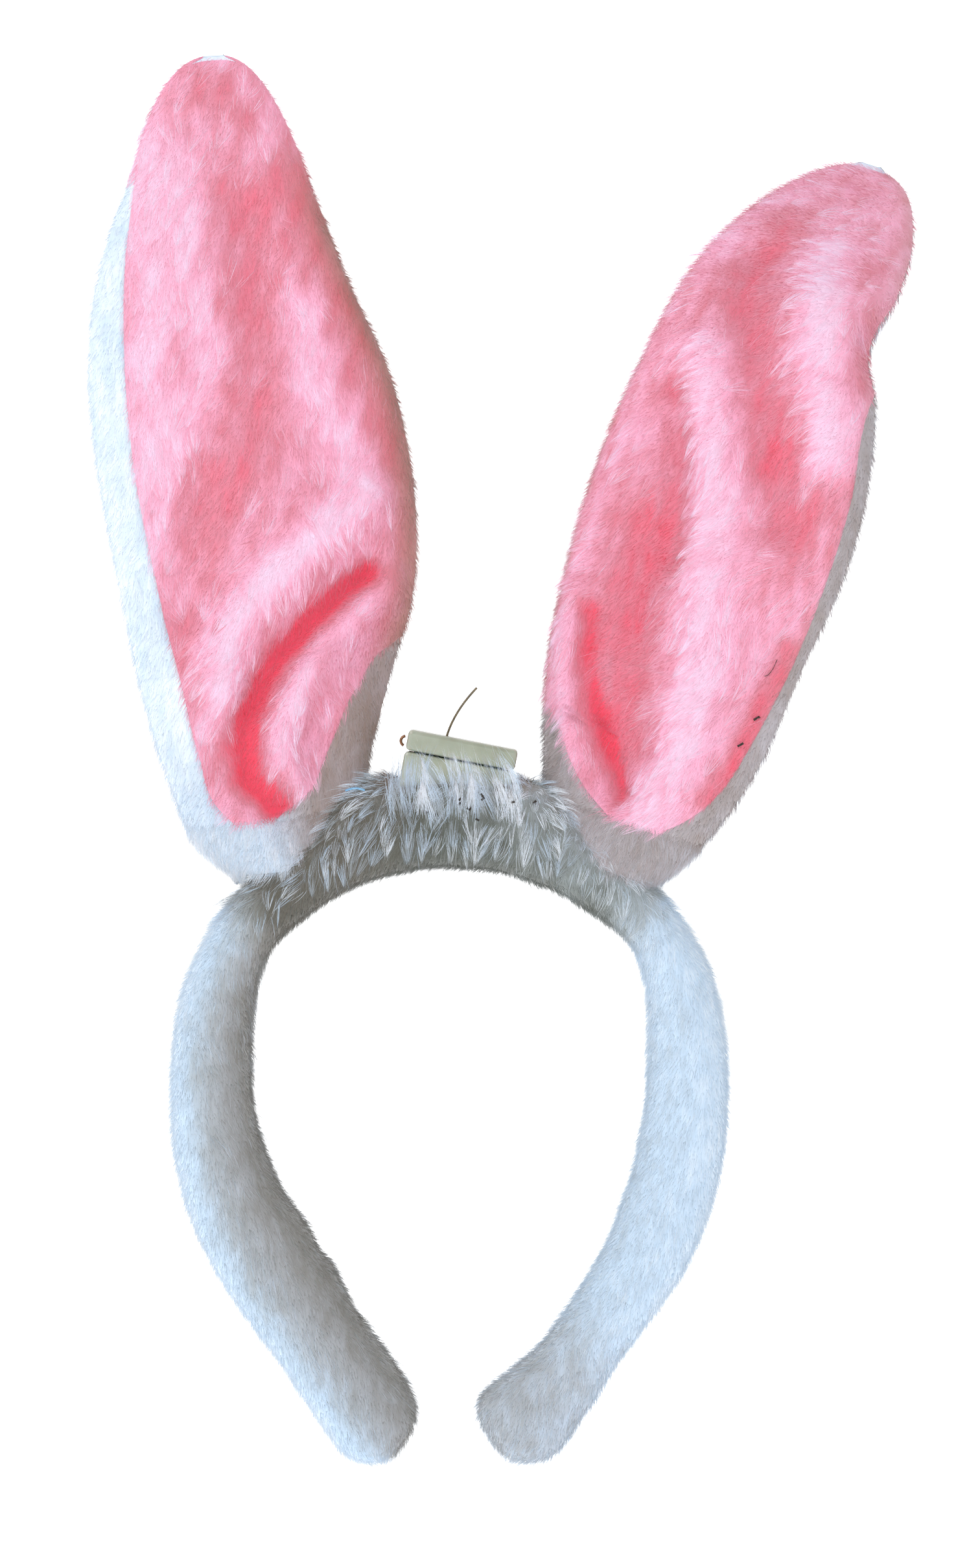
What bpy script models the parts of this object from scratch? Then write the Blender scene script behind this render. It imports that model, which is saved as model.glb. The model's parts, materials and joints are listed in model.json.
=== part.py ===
"""Animal ears headband: a sprung hoop in foam and plush, two wired plush ears and a small battery box.

Metres, +Z up, +X to the wearer's left, the front towards -Y. The origin is the middle of the flat
seat under the crown. Each ear is built upright in its own frame, x across it, y through it and z
along it, and its empties carry it to its place on the band.
"""

import math

import bmesh
import bpy
from mathutils import Matrix, Vector

# The hoop's centre line, from the crown's middle down one side: three arcs, then a straight to the tip.
CROWN_RADIUS = 0.0642
CROWN_SWEEP = math.radians(27)
SHOULDER_RADIUS = 0.0519
SHOULDER_SWEEP = math.radians(55)
SIDE_RADIUS = 0.0927
SIDE_SWEEP = math.radians(43)
TIP_STRAIGHT = 0.0421

# Sections across the hoop: half-widths along its outward normal and front to back.
CROWN_HALF_OUT = 0.0070
SIDE_HALF_OUT = 0.0080
TIP_HALF_OUT = 0.0072
SLEEVE_HALF_DEEP = 0.0110
TIP_HALF_DEEP = 0.0085
SLEEVE_WALL = 0.0014
CORE_HALF_OUT = 0.0009
CORE_HALF_DEEP = 0.0068
TIP_CORE_HALF_DEEP = 0.0050
WIDENS_FROM = 0.03
WIDENS_OVER = 0.05
TAPER_LENGTH = 0.06
TIP_ROUNDING_DEGREES = (30, 55, 75)
SECTION_POINTS = 16
SECTION_POWER = 2.4
SEAT_HALF_LENGTH = 0.004
STATION_PITCH = 0.0110
GAP = 0.00035

# Where each arm starts to flex, measured along the hoop, and the slit left there for the motion.
FLEX_AT = 0.074
FLEX_HALF_SLIT = 0.0018

# The ears' seats on the hoop.
EAR_AT = 0.035
SADDLE_HALF_LENGTH = 0.019
SADDLE_WALL = 0.0016
SADDLE_GAP = 0.0008
SADDLE_LOWEST = math.radians(-18)
SADDLE_SPANS = 12
ROOT_ABOVE_SADDLE = 0.0030

# The bent wire foot on each saddle, the twisted neck above it and the thread that binds the neck.
FOOT_HALF_STEPS = 7
FOOT_PITCH = 0.002
FOOT_LOOP_RISE = 0.0011
FOOT_LOOP_STEPS = 2
NECK_RADIUS = 0.0009
NECK_START = 0.0008
NECK_END = 0.0044
BINDING_RADIUS = 0.00028
BINDING_START = 0.0012
BINDING_PITCH = 0.00075
BINDING_TURNS = 3
BINDING_HALF_WIDTH = 0.0016

# One ear, in its own frame.
EAR_LENGTH = 0.1865
EAR_WIDEST_AT = 0.088
EAR_HALF_WIDTH = 0.0360
EAR_ROOT_HALF_WIDTH = 0.0175
EAR_TIP_POWERS = (1.8, 0.65)
EAR_HALF_THICK = 0.0082
EAR_ROOT_HALF_THICK = 0.0070
EAR_END_POWER = 7
EAR_START = -0.004
EAR_END_MARGIN = 0.0006
PANEL_WALL = 0.0013
PANEL_POINTS = 9
FILL_INSET = 0.0045
FILL_START = 0.026
FILL_END_MARGIN = 0.010
FILL_POINTS = 16
FILL_SLACK = 0.86
FILL_ROOT_SHARE = 0.6
FILL_GROWS_OVER = 0.010
FILL_LEAST_HALF_WIDTH = 0.001
FILL_LEAST_HALF_THICK = 0.0006
WIRE_RADIUS = 0.0006
WIRE_INSET = 0.0030
WIRE_FORK_START = 0.0078
WIRE_FORK = ((0.0045, 0.0105), (0.0135, 0.0170))
WIRE_SIDE_START = 0.026
WIRE_BREAK = 0.0008
WIRE_SIDE_END_MARGIN = 0.0085
WIRE_TOP_MARGIN = 0.0062
TILT_HEIGHT = 0.006
BEND_HEIGHT = 0.1295
BEND_HALF_WEDGE = math.radians(30)
BEND_HALF_SLIT = 0.0003

# The cutters that divide an ear reach well past it.
CUT_THROUGH = 0.03
CUT_ACROSS = 0.06
CUT_TOP = 0.25
CUT_BOTTOM = -0.05
BASE_CUT_REACH = 0.08
BASE_CUT_LAP = 0.001

# How each ear stands at rest: lean to the side, turn about its own length, and bend of its tip.
EARS = {
    "left": {"side": -1, "lean": math.radians(-5.5), "turn": math.radians(12), "bend": 0.0},
    "right": {"side": 1, "lean": math.radians(18.2), "turn": math.radians(-21), "bend": math.radians(-42)},
}
# The lower edge of an ear clears the band by these slopes, inwards and outwards from the root.
BASE_SLOPE_IN = math.radians(0)
BASE_SLOPE_OUT = math.radians(-28)
BASE_APEX = 0.0095

# The lamp in each ear.
LED_HEIGHT = 0.0175
LED_RADIUS = 0.0015
LED_BARREL = 0.0028
LED_DOME_DEGREES = (30, 60)
LED_STEPS = 16
LED_LEAD_RADIUS = 0.0004
LED_LEAD_START = 0.0006
LED_LEAD_OFFSET = 0.0018
LED_LEAD_DROP = 0.003
LED_LEAD_END = 0.0103

# The battery box, in its own frame: x along it, y through it, z up from its floor.
BOX_LENGTH = 0.0268
BOX_DEPTH = 0.0110
BASE_HEIGHT = 0.0092
LID_HEIGHT = 0.0050
BOX_WALL = 0.0010
BOX_EDGE = 0.0009
BOX_FLOOR = (0.0008, -0.0010, 0.0165)
BOX_TILT = math.radians(11)
CELL_RADIUS = 0.00395
CELL_THICKNESS = 0.0036
CELL_EDGE = 0.0004
CELL_SPREAD = 0.0046
CELL_SHIFT = -0.0015
CELL_HEIGHT = 0.0053
CELL_MIDDLE = -0.0016
PLATE_SIZE = (0.0150, 0.0003, 0.0050)
PLATE_MIDDLE = 0.00065
BOARD_SIZE = (0.0225, 0.0008, 0.0085)
BOARD_MIDDLE = 0.0015
BOARD_HEIGHT = 0.0058
SWITCH_SIZE = (0.0050, 0.0013, 0.0045)
SWITCH_EDGE = 0.0002
SWITCH_MIDDLE = 0.0029
BUTTON_RADIUS = 0.0011
BUTTON_EDGE = 0.0003
BUTTON_START = 0.0047
BUTTON_END = 0.0066
BUTTON_HEIGHT = 0.0048
BUTTON_AT = 0.0070
BUTTON_HOLE_DEPTH = 0.004
SPRING_TURNS = 2.5
SPRING_STEPS = 9
SPRING_INNER = 0.0009
SPRING_OUTER = 0.0030
SPRING_MIDDLE = -0.00395
SPRING_RADIUS = 0.00022

# The loose lead above the lid, and the loop of bare wire at the box's left end.
LEAD_AT = -0.0043
LEAD_RADIUS = 0.00028
LEAD_HOLE = (0.0014, 0.0014, 0.006)
LEAD_INSIDE = 0.0015
LEAD_RISE = 0.0132
LEAD_REACH = 0.0050
LEAD_BOW_POWER = 1.9
LEAD_FORWARD = -0.0006
LEAD_POINTS = 12
LOOP_RADIUS = 0.0012
LOOP_WIRE_RADIUS = 0.00035
LOOP_FROM_WALL = 0.0003
LOOP_FORWARD = -0.0015
LOOP_HEIGHT = 0.0115
LOOP_HALF_SWEEP = math.radians(75)
LOOP_POINTS = 15


def clear_scene():
    for old in list(bpy.data.objects):
        bpy.data.objects.remove(old)


def new_collection(name):
    made = bpy.data.collections.new(name)
    bpy.context.scene.collection.children.link(made)
    return made


clear_scene()
PARTS = new_collection("animal_ears_headband")
CUTTERS = new_collection("cutters")


def material(name, colour, roughness, metallic=0.0):
    made = bpy.data.materials.new(name)
    made.use_nodes = True
    shader = made.node_tree.nodes["Principled BSDF"]
    shader.inputs["Base Color"].default_value = (*colour, 1.0)
    shader.inputs["Roughness"].default_value = roughness
    shader.inputs["Metallic"].default_value = metallic
    return made


WHITE_PLUSH = material("white_plush", (0.72, 0.75, 0.76), 0.95)
PINK_PLUSH = material("pink_plush", (0.86, 0.32, 0.40), 0.95)
FIBRE_FILL = material("fibre_fill", (0.85, 0.85, 0.82), 1.0)
FOAM = material("foam", (0.80, 0.78, 0.70), 0.95)
HOOP_PLASTIC = material("hoop_plastic", (0.82, 0.82, 0.80), 0.45)
STEEL_WIRE = material("steel_wire", (0.55, 0.55, 0.56), 0.35, metallic=1.0)
THREAD = material("thread", (0.80, 0.80, 0.78), 0.9)
BOX_PLASTIC = material("box_plastic", (0.42, 0.46, 0.38), 0.35)
CELL_STEEL = material("cell_steel", (0.70, 0.70, 0.72), 0.25, metallic=1.0)
CONTACT_STEEL = material("contact_steel", (0.75, 0.72, 0.62), 0.3, metallic=1.0)
BOARD_GREEN = material("board_green", (0.05, 0.22, 0.10), 0.5)
SWITCH_BLACK = material("switch_black", (0.03, 0.03, 0.03), 0.5)
BUTTON_WHITE = material("button_white", (0.75, 0.75, 0.72), 0.4)
LEAD_BROWN = material("lead_brown", (0.20, 0.14, 0.07), 0.5)
COPPER = material("copper", (0.55, 0.30, 0.15), 0.4, metallic=1.0)
LED_LENS = material("led_lens", (0.85, 0.85, 0.88), 0.15)


# Helpers


def finish(mesh, name, surface, smooth=True):
    """Link a mesh as a named part with its material."""
    made = bpy.data.objects.new(name, mesh)
    mesh.materials.clear()
    mesh.materials.append(surface)
    if smooth:
        mesh.shade_smooth()
        mesh.set_sharp_from_angle(angle=math.radians(40))
    PARTS.objects.link(made)
    return made


def loft(name, rings, cyclic=False):
    """A closed mesh through rings of equal length; the ends are faces, or meet when cyclic."""
    work = bmesh.new()
    rows = [[work.verts.new(point) for point in ring] for ring in rings]
    count = len(rows[0])
    pairs = list(zip(rows, rows[1:] + rows[:1])) if cyclic else list(zip(rows, rows[1:]))
    for low, high in pairs:
        for i in range(count):
            j = (i + 1) % count
            work.faces.new((low[i], low[j], high[j], high[i]))
    if not cyclic:
        work.faces.new(rows[0])
        work.faces.new(rows[-1])
    bmesh.ops.recalc_face_normals(work, faces=work.faces)
    mesh = bpy.data.meshes.new(name)
    work.to_mesh(mesh)
    work.free()
    return mesh


def wire(name, points, radius, surface):
    """A round wire through the points, as a welded mesh."""
    curve = bpy.data.curves.new(name, "CURVE")
    curve.dimensions = "3D"
    curve.bevel_depth = radius
    curve.bevel_resolution = 2
    curve.use_fill_caps = True
    line = curve.splines.new("POLY")
    line.points.add(len(points) - 1)
    for slot, point in zip(line.points, points):
        slot.co = (*point, 1.0)
    guide = bpy.data.objects.new(name + "_guide", curve)
    PARTS.objects.link(guide)
    graph = bpy.context.evaluated_depsgraph_get()
    mesh = bpy.data.meshes.new_from_object(guide.evaluated_get(graph))
    bpy.data.objects.remove(guide)
    work = bmesh.new()
    work.from_mesh(mesh)
    bmesh.ops.remove_doubles(work, verts=work.verts, dist=1e-6)
    bmesh.ops.recalc_face_normals(work, faces=work.faces)
    work.to_mesh(mesh)
    work.free()
    return finish(mesh, name, surface)


def box_mesh(name, size, middle):
    work = bmesh.new()
    bmesh.ops.create_cube(work, size=1.0)
    bmesh.ops.scale(work, vec=size, verts=work.verts)
    bmesh.ops.translate(work, vec=middle, verts=work.verts)
    mesh = bpy.data.meshes.new(name)
    work.to_mesh(mesh)
    work.free()
    return mesh


def disc_mesh(name, radius, thickness, middle, segments=20):
    """A cylinder along y."""
    work = bmesh.new()
    bmesh.ops.create_cone(
        work, cap_ends=True, segments=segments, radius1=radius, radius2=radius, depth=thickness
    )
    bmesh.ops.rotate(work, cent=(0, 0, 0), matrix=Matrix.Rotation(math.pi / 2, 3, "X"), verts=work.verts)
    bmesh.ops.translate(work, vec=middle, verts=work.verts)
    mesh = bpy.data.meshes.new(name)
    work.to_mesh(mesh)
    work.free()
    return mesh


def cutter(mesh, name):
    made = bpy.data.objects.new(name, mesh)
    made.hide_render = True
    made.display_type = "WIRE"
    CUTTERS.objects.link(made)
    return made


def cut(part, tool):
    step = part.modifiers.new("cut_" + tool.name, "BOOLEAN")
    step.operation = "DIFFERENCE"
    step.solver = "EXACT"
    step.object = tool


def soften(part, width, segments=2):
    step = part.modifiers.new("soften", "BEVEL")
    step.width = width
    step.segments = segments
    step.limit_method = "ANGLE"
    step.angle_limit = math.radians(40)


def axis_empty(name, matrix, parent=None):
    made = bpy.data.objects.new(name, None)
    made.empty_display_size = 0.01
    PARTS.objects.link(made)
    made.parent = parent
    made.matrix_basis = matrix
    return made


def keep_in_place(part, empty):
    """Parent a piece that is already in world coordinates."""
    bpy.context.view_layer.update()
    part.parent = empty
    part.matrix_parent_inverse = empty.matrix_world.inverted()


# The hoop


def hoop_frame(length, side=1):
    """Centre point, outward normal and heading at a length along the hoop from the crown's middle."""
    x, z, heading = 0.0, crown_height(), 0.0
    left = abs(length)
    side = side if length >= 0 else -side
    for radius, sweep in (
        (CROWN_RADIUS, CROWN_SWEEP),
        (SHOULDER_RADIUS, SHOULDER_SWEEP),
        (SIDE_RADIUS, SIDE_SWEEP),
    ):
        turn = min(left / radius, sweep)
        x += radius * (math.sin(heading + turn) - math.sin(heading))
        z += radius * (math.cos(heading + turn) - math.cos(heading))
        heading += turn
        left -= turn * radius
    x += left * math.cos(heading)
    z -= left * math.sin(heading)
    normal = Vector((side * math.sin(heading), 0, math.cos(heading)))
    return Vector((side * x, 0, z)), normal, heading


def oval(angle, half_out, half_deep):
    """A point of a squarish oval, as distances along the outward normal and along y."""
    out = math.copysign(abs(math.sin(angle)) ** (2 / SECTION_POWER), math.sin(angle))
    deep = math.copysign(abs(math.cos(angle)) ** (2 / SECTION_POWER), math.cos(angle))
    return half_out * out, half_deep * deep


def crown_height():
    """Height of the centre line over the flat facet that lies under the crown."""
    half_step = math.pi / SECTION_POINTS
    low, _ = oval(-math.pi / 2 + half_step, CROWN_HALF_OUT, SLEEVE_HALF_DEEP)
    turn = SEAT_HALF_LENGTH / CROWN_RADIUS
    return -low * math.cos(turn) + CROWN_RADIUS * (1 - math.cos(turn))


HOOP_HALF_LENGTH = (
    CROWN_RADIUS * CROWN_SWEEP + SHOULDER_RADIUS * SHOULDER_SWEEP + SIDE_RADIUS * SIDE_SWEEP + TIP_STRAIGHT
)


def eased(value):
    value = min(max(value, 0.0), 1.0)
    return value * value * (3 - 2 * value)


def sleeve_half(length):
    """Half-widths of the sleeve's outside at a length along the hoop."""
    out = CROWN_HALF_OUT + (SIDE_HALF_OUT - CROWN_HALF_OUT) * eased((length - WIDENS_FROM) / WIDENS_OVER)
    near_tip = eased((length - HOOP_HALF_LENGTH + TAPER_LENGTH) / TAPER_LENGTH)
    out += (TIP_HALF_OUT - SIDE_HALF_OUT) * near_tip
    deep = SLEEVE_HALF_DEEP + (TIP_HALF_DEEP - SLEEVE_HALF_DEEP) * near_tip
    return out, deep


def core_half(length):
    near_tip = eased((length - HOOP_HALF_LENGTH + TAPER_LENGTH) / TAPER_LENGTH)
    return CORE_HALF_OUT, CORE_HALF_DEEP + (TIP_CORE_HALF_DEEP - CORE_HALF_DEEP) * near_tip


def section(length, side, half_out, half_deep):
    """The ring of points round the hoop at a length along it."""
    middle, normal, _ = hoop_frame(length, side)
    ring = []
    for i in range(SECTION_POINTS):
        out, deep = oval((i + 0.5) * 2 * math.pi / SECTION_POINTS, half_out, half_deep)
        ring.append(middle + normal * out + Vector((0, deep, 0)))
    return ring


def stations(start, end):
    count = max(2, round((end - start) / STATION_PITCH))
    return [start + (end - start) * i / count for i in range(count + 1)]


def crown_stations():
    """Symmetric stations with one span over the flat seat."""
    outer = stations(SEAT_HALF_LENGTH, FLEX_AT - FLEX_HALF_SLIT)
    return [-s for s in reversed(outer)] + outer


def rounded_tip(side, inset):
    """Rings that close a hoop layer at its free tip, inset from the sleeve's outside."""
    half_out, half_deep = (half - inset for half in sleeve_half(HOOP_HALF_LENGTH))
    rings = []
    for degrees in TIP_ROUNDING_DEGREES:
        angle = math.radians(degrees)
        length = HOOP_HALF_LENGTH + half_out * math.sin(angle)
        rings.append(section(length, side, half_out * math.cos(angle), half_deep * math.cos(angle)))
    return rings


def layer(length, side, inset):
    out, deep = sleeve_half(abs(length))
    return section(length, side, out - inset, deep - inset)


def core_ring(length, side, clearance):
    out, deep = core_half(abs(length))
    return section(length, side, out + clearance, deep + clearance)


def make_crown():
    along = crown_stations()
    outer = [layer(s, 1, 0) for s in along]
    inner = [layer(s, 1, SLEEVE_WALL) for s in reversed(along)]
    finish(loft("plush_sleeve_crown", outer + inner, cyclic=True), "plush_sleeve_crown", WHITE_PLUSH)
    outer = [layer(s, 1, SLEEVE_WALL + GAP) for s in along]
    inner = [core_ring(s, 1, GAP) for s in reversed(along)]
    finish(loft("foam_wrap_crown", outer + inner, cyclic=True), "foam_wrap_crown", FOAM)
    finish(loft("hoop_core_crown", [core_ring(s, 1, 0) for s in along]), "hoop_core_crown", HOOP_PLASTIC)


def make_arm(name, side):
    middle, _, _ = hoop_frame(FLEX_AT, side)
    empty = axis_empty(name + "_arm_flex_axis", Matrix.Translation(middle))
    along = stations(FLEX_AT + FLEX_HALF_SLIT, HOOP_HALF_LENGTH)
    foam_inset = SLEEVE_WALL + GAP
    inner = [layer(s, side, SLEEVE_WALL) for s in along] + rounded_tip(side, SLEEVE_WALL)
    outer = [layer(s, side, 0) for s in along] + rounded_tip(side, 0)
    sleeve = loft(name + "_plush_sleeve", inner[::-1] + outer)
    inner = [core_ring(s, side, GAP) for s in along]
    inner.append(core_ring(HOOP_HALF_LENGTH + GAP, side, GAP))
    outer = [layer(s, side, foam_inset) for s in along] + rounded_tip(side, foam_inset)
    foam = loft(name + "_foam_wrap", inner[::-1] + outer)
    core = loft(name + "_hoop_core", [core_ring(s, side, 0) for s in along])
    for mesh, surface in ((sleeve, WHITE_PLUSH), (foam, FOAM), (core, HOOP_PLASTIC)):
        keep_in_place(finish(mesh, mesh.name, surface), empty)


# The ears


def ear_half_width(height):
    """Half the ear's width at a height along it."""
    if height < EAR_WIDEST_AT:
        rise = math.sin(math.pi / 2 * max(height, 0) / EAR_WIDEST_AT)
        return EAR_ROOT_HALF_WIDTH + (EAR_HALF_WIDTH - EAR_ROOT_HALF_WIDTH) * rise
    share = (height - EAR_WIDEST_AT) / (EAR_LENGTH - EAR_WIDEST_AT)
    bulge, ending = EAR_TIP_POWERS
    return EAR_HALF_WIDTH * max(1 - share**bulge, 0) ** ending


def ear_half_thick(height):
    """Half the ear's thickness on its middle line."""
    body = EAR_ROOT_HALF_THICK + (EAR_HALF_THICK - EAR_ROOT_HALF_THICK) * eased(height / EAR_WIDEST_AT)
    share = max(height, 0) / (EAR_LENGTH + EAR_END_MARGIN)
    return body * math.sqrt(max(1 - share**EAR_END_POWER, 0))


def ear_heights(start, end, count):
    """Stations that crowd towards the tip, where the outline turns fastest."""
    return [start + (end - start) * math.sin(math.pi / 2 * i / count) for i in range(count + 1)]


def panel_ring(height, front):
    """A C-shaped ring: out along the panel's outside and back along its inside."""
    sign = -1 if front else 1
    wide = ear_half_width(height)
    thick = ear_half_thick(height)
    ring = []
    for inset, order in ((0.0, range(PANEL_POINTS)), (PANEL_WALL, reversed(range(PANEL_POINTS)))):
        for i in order:
            angle = math.pi * i / (PANEL_POINTS - 1)
            deep = max((thick - inset) * math.sin(angle), GAP / 2)
            ring.append((-(wide - inset) * math.cos(angle), sign * deep, height))
    return ring


def fill_ring(height):
    share = FILL_ROOT_SHARE + (1 - FILL_ROOT_SHARE) * eased((height - FILL_START) / FILL_GROWS_OVER)
    wide = share * max(ear_half_width(height) - FILL_INSET, FILL_LEAST_HALF_WIDTH)
    thick = share * FILL_SLACK * max(ear_half_thick(height) - PANEL_WALL - GAP, FILL_LEAST_HALF_THICK)
    ring = []
    for i in range(FILL_POINTS):
        angle = 2 * math.pi * i / FILL_POINTS
        ring.append((wide * math.cos(angle), thick * math.sin(angle), height))
    return ring


def wire_side(start, end, count):
    """Points of the wire up one side of the ear, inside its seam."""
    points = []
    for height in ear_heights(start, end, count):
        points.append((ear_half_width(height) - WIRE_INSET, height))
    return points


def bend_prism(name, kept):
    """A wedged cutter along x that takes away what is above (kept -1) or below (kept 1) the tip's bend."""
    start = BEND_HEIGHT + kept * BEND_HALF_SLIT
    side = BEND_HEIGHT + kept * CUT_THROUGH * math.tan(BEND_HALF_WEDGE)
    end = CUT_TOP if kept < 0 else CUT_BOTTOM
    outline = [(0, start), (CUT_THROUGH, side), (CUT_THROUGH, end), (-CUT_THROUGH, end), (-CUT_THROUGH, side)]
    rings = [[(x, y, z) for y, z in outline] for x in (-CUT_ACROSS, CUT_ACROSS)]
    return cutter(loft(name, rings), name)


def base_prism(name, slope, direction):
    """A cutter along y that takes away what lies under a slope from the root."""
    outline = []
    for x in (-BASE_CUT_LAP, BASE_CUT_REACH):
        outline.append((x * direction, BASE_APEX + x * math.tan(slope)))
    for x in (BASE_CUT_REACH, -BASE_CUT_LAP):
        outline.append((x * direction, CUT_BOTTOM))
    rings = [[(x, y, z) for x, z in outline] for y in (-CUT_THROUGH, CUT_THROUGH)]
    return cutter(loft(name, rings), name)


def make_saddle(name, side):
    """The plush strip that sews an ear over the top of the band."""
    sweep = math.pi - 2 * SADDLE_LOWEST
    arc = [SADDLE_LOWEST + sweep * i / SADDLE_SPANS for i in range(SADDLE_SPANS + 1)]
    rings = []
    for length in stations(EAR_AT - SADDLE_HALF_LENGTH, EAR_AT + SADDLE_HALF_LENGTH):
        middle, normal, _ = hoop_frame(length, side)
        half_out, half_deep = sleeve_half(length)
        ring = []
        for grow, order in ((SADDLE_GAP + SADDLE_WALL, arc), (SADDLE_GAP, reversed(arc))):
            for angle in order:
                out, deep = oval(angle, half_out + grow, half_deep + grow)
                ring.append(middle + normal * out + Vector((0, deep, 0)))
        rings.append(ring)
    finish(loft(name + "_root_saddle", rings), name + "_root_saddle", WHITE_PLUSH)


def make_wire_foot(name, side):
    """A wire bar along the top of the saddle with a small raised loop that the neck stands on."""
    points = []
    for step in range(-FOOT_HALF_STEPS, FOOT_HALF_STEPS + 1):
        length = EAR_AT + step * FOOT_PITCH
        middle, normal, _ = hoop_frame(length, side)
        half_out, _ = sleeve_half(length)
        height = half_out + SADDLE_GAP + SADDLE_WALL + GAP + WIRE_RADIUS
        height += FOOT_LOOP_RISE * eased(1 - abs(step) / FOOT_LOOP_STEPS)
        points.append(middle + normal * height)
    wire(name + "_wire_foot", points, WIRE_RADIUS, STEEL_WIRE)


def ear_root(side):
    middle, normal, _ = hoop_frame(EAR_AT, side)
    half_out, _ = sleeve_half(EAR_AT)
    return middle + normal * (half_out + SADDLE_GAP + SADDLE_WALL + ROOT_ABOVE_SADDLE)


def make_neck(name, splay):
    """The twisted wire neck between the splay axis and the tilt axis, bound with thread."""
    neck = wire(name + "_wire_neck", [(0, 0, NECK_START), (0, 0, NECK_END)], NECK_RADIUS, STEEL_WIRE)
    neck.parent = splay
    steps = 8
    coil = []
    for i in range(BINDING_TURNS * steps + 1):
        angle = 2 * math.pi * i / steps
        across, through = BINDING_HALF_WIDTH * math.cos(angle), BINDING_HALF_WIDTH * math.sin(angle)
        coil.append((across, through, BINDING_START + BINDING_PITCH * i / steps))
    binding = wire(name + "_neck_binding", coil, BINDING_RADIUS, THREAD)
    binding.parent = splay


def make_ear_half(name, which, empty, axis_height, tools):
    """The panels and the fill of the lower or the upper part of an ear, cut to shape by the tools."""
    made = []
    for face in ("front", "back"):
        heights = ear_heights(EAR_START, EAR_LENGTH - EAR_END_MARGIN, 16)
        label = f"{name}_{face}_{which}"
        surface = PINK_PLUSH if face == "front" else WHITE_PLUSH
        made.append(finish(loft(label, [panel_ring(h, face == "front") for h in heights]), label, surface))
    heights = ear_heights(FILL_START, EAR_LENGTH - FILL_END_MARGIN, 14)
    label = f"{name}_fill_{which}"
    made.append(finish(loft(label, [fill_ring(h) for h in heights]), label, FIBRE_FILL))
    for part in made:
        for tool in tools:
            cut(part, tool)
        hang(part, empty, axis_height)


def hang(part, empty, axis_height):
    """Parent a piece modelled from the ear's root to an axis at a height above it."""
    part.parent = empty
    part.location = (0, 0, -axis_height)


def make_ear_wires(name, tilt, bend):
    """The steel wire in the seam: the forked lower length and the loop round the tip."""
    side = wire_side(WIRE_SIDE_START, BEND_HEIGHT - WIRE_BREAK, 8)
    leg = list(WIRE_FORK) + side
    path = [(-x, 0, z) for x, z in reversed(leg)] + [(0, 0, WIRE_FORK_START)] + [(x, 0, z) for x, z in leg]
    hang(wire(name + "_wire_lower", path, WIRE_RADIUS, STEEL_WIRE), tilt, TILT_HEIGHT)
    side = wire_side(BEND_HEIGHT + WIRE_BREAK, EAR_LENGTH - WIRE_SIDE_END_MARGIN, 8)
    path = [(x, 0, z) for x, z in side] + [(0, 0, EAR_LENGTH - WIRE_TOP_MARGIN)]
    path += [(-x, 0, z) for x, z in reversed(side)]
    hang(wire(name + "_wire_upper", path, WIRE_RADIUS, STEEL_WIRE), bend, BEND_HEIGHT)


def make_ear(name, setup):
    side = setup["side"]
    make_saddle(name, side)
    make_wire_foot(name, side)
    stand = Matrix.Translation(ear_root(side))
    stand = stand @ Matrix.Rotation(setup["lean"], 4, "Y") @ Matrix.Rotation(setup["turn"], 4, "Z")
    splay = axis_empty(name + "_ear_splay_axis", stand)
    tilt = axis_empty(name + "_ear_tilt_axis", Matrix.Translation((0, 0, TILT_HEIGHT)), splay)
    above_tilt = Matrix.Translation((0, 0, BEND_HEIGHT - TILT_HEIGHT))
    bend = axis_empty(name + "_tip_bend_axis", above_tilt @ Matrix.Rotation(setup["bend"], 4, "X"), tilt)
    make_neck(name, splay)
    lower_tools = [
        bend_prism(name + "_cut_above", -1),
        base_prism(name + "_cut_inner_base", BASE_SLOPE_IN, -side),
        base_prism(name + "_cut_outer_base", BASE_SLOPE_OUT, side),
    ]
    for tool in lower_tools:
        hang(tool, tilt, TILT_HEIGHT)
    upper_tool = bend_prism(name + "_cut_below", 1)
    hang(upper_tool, bend, BEND_HEIGHT)
    make_ear_half(name, "lower", tilt, TILT_HEIGHT, lower_tools)
    make_ear_half(name, "upper", bend, BEND_HEIGHT, [upper_tool])
    make_ear_wires(name, tilt, bend)
    make_led(name, tilt)


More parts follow.
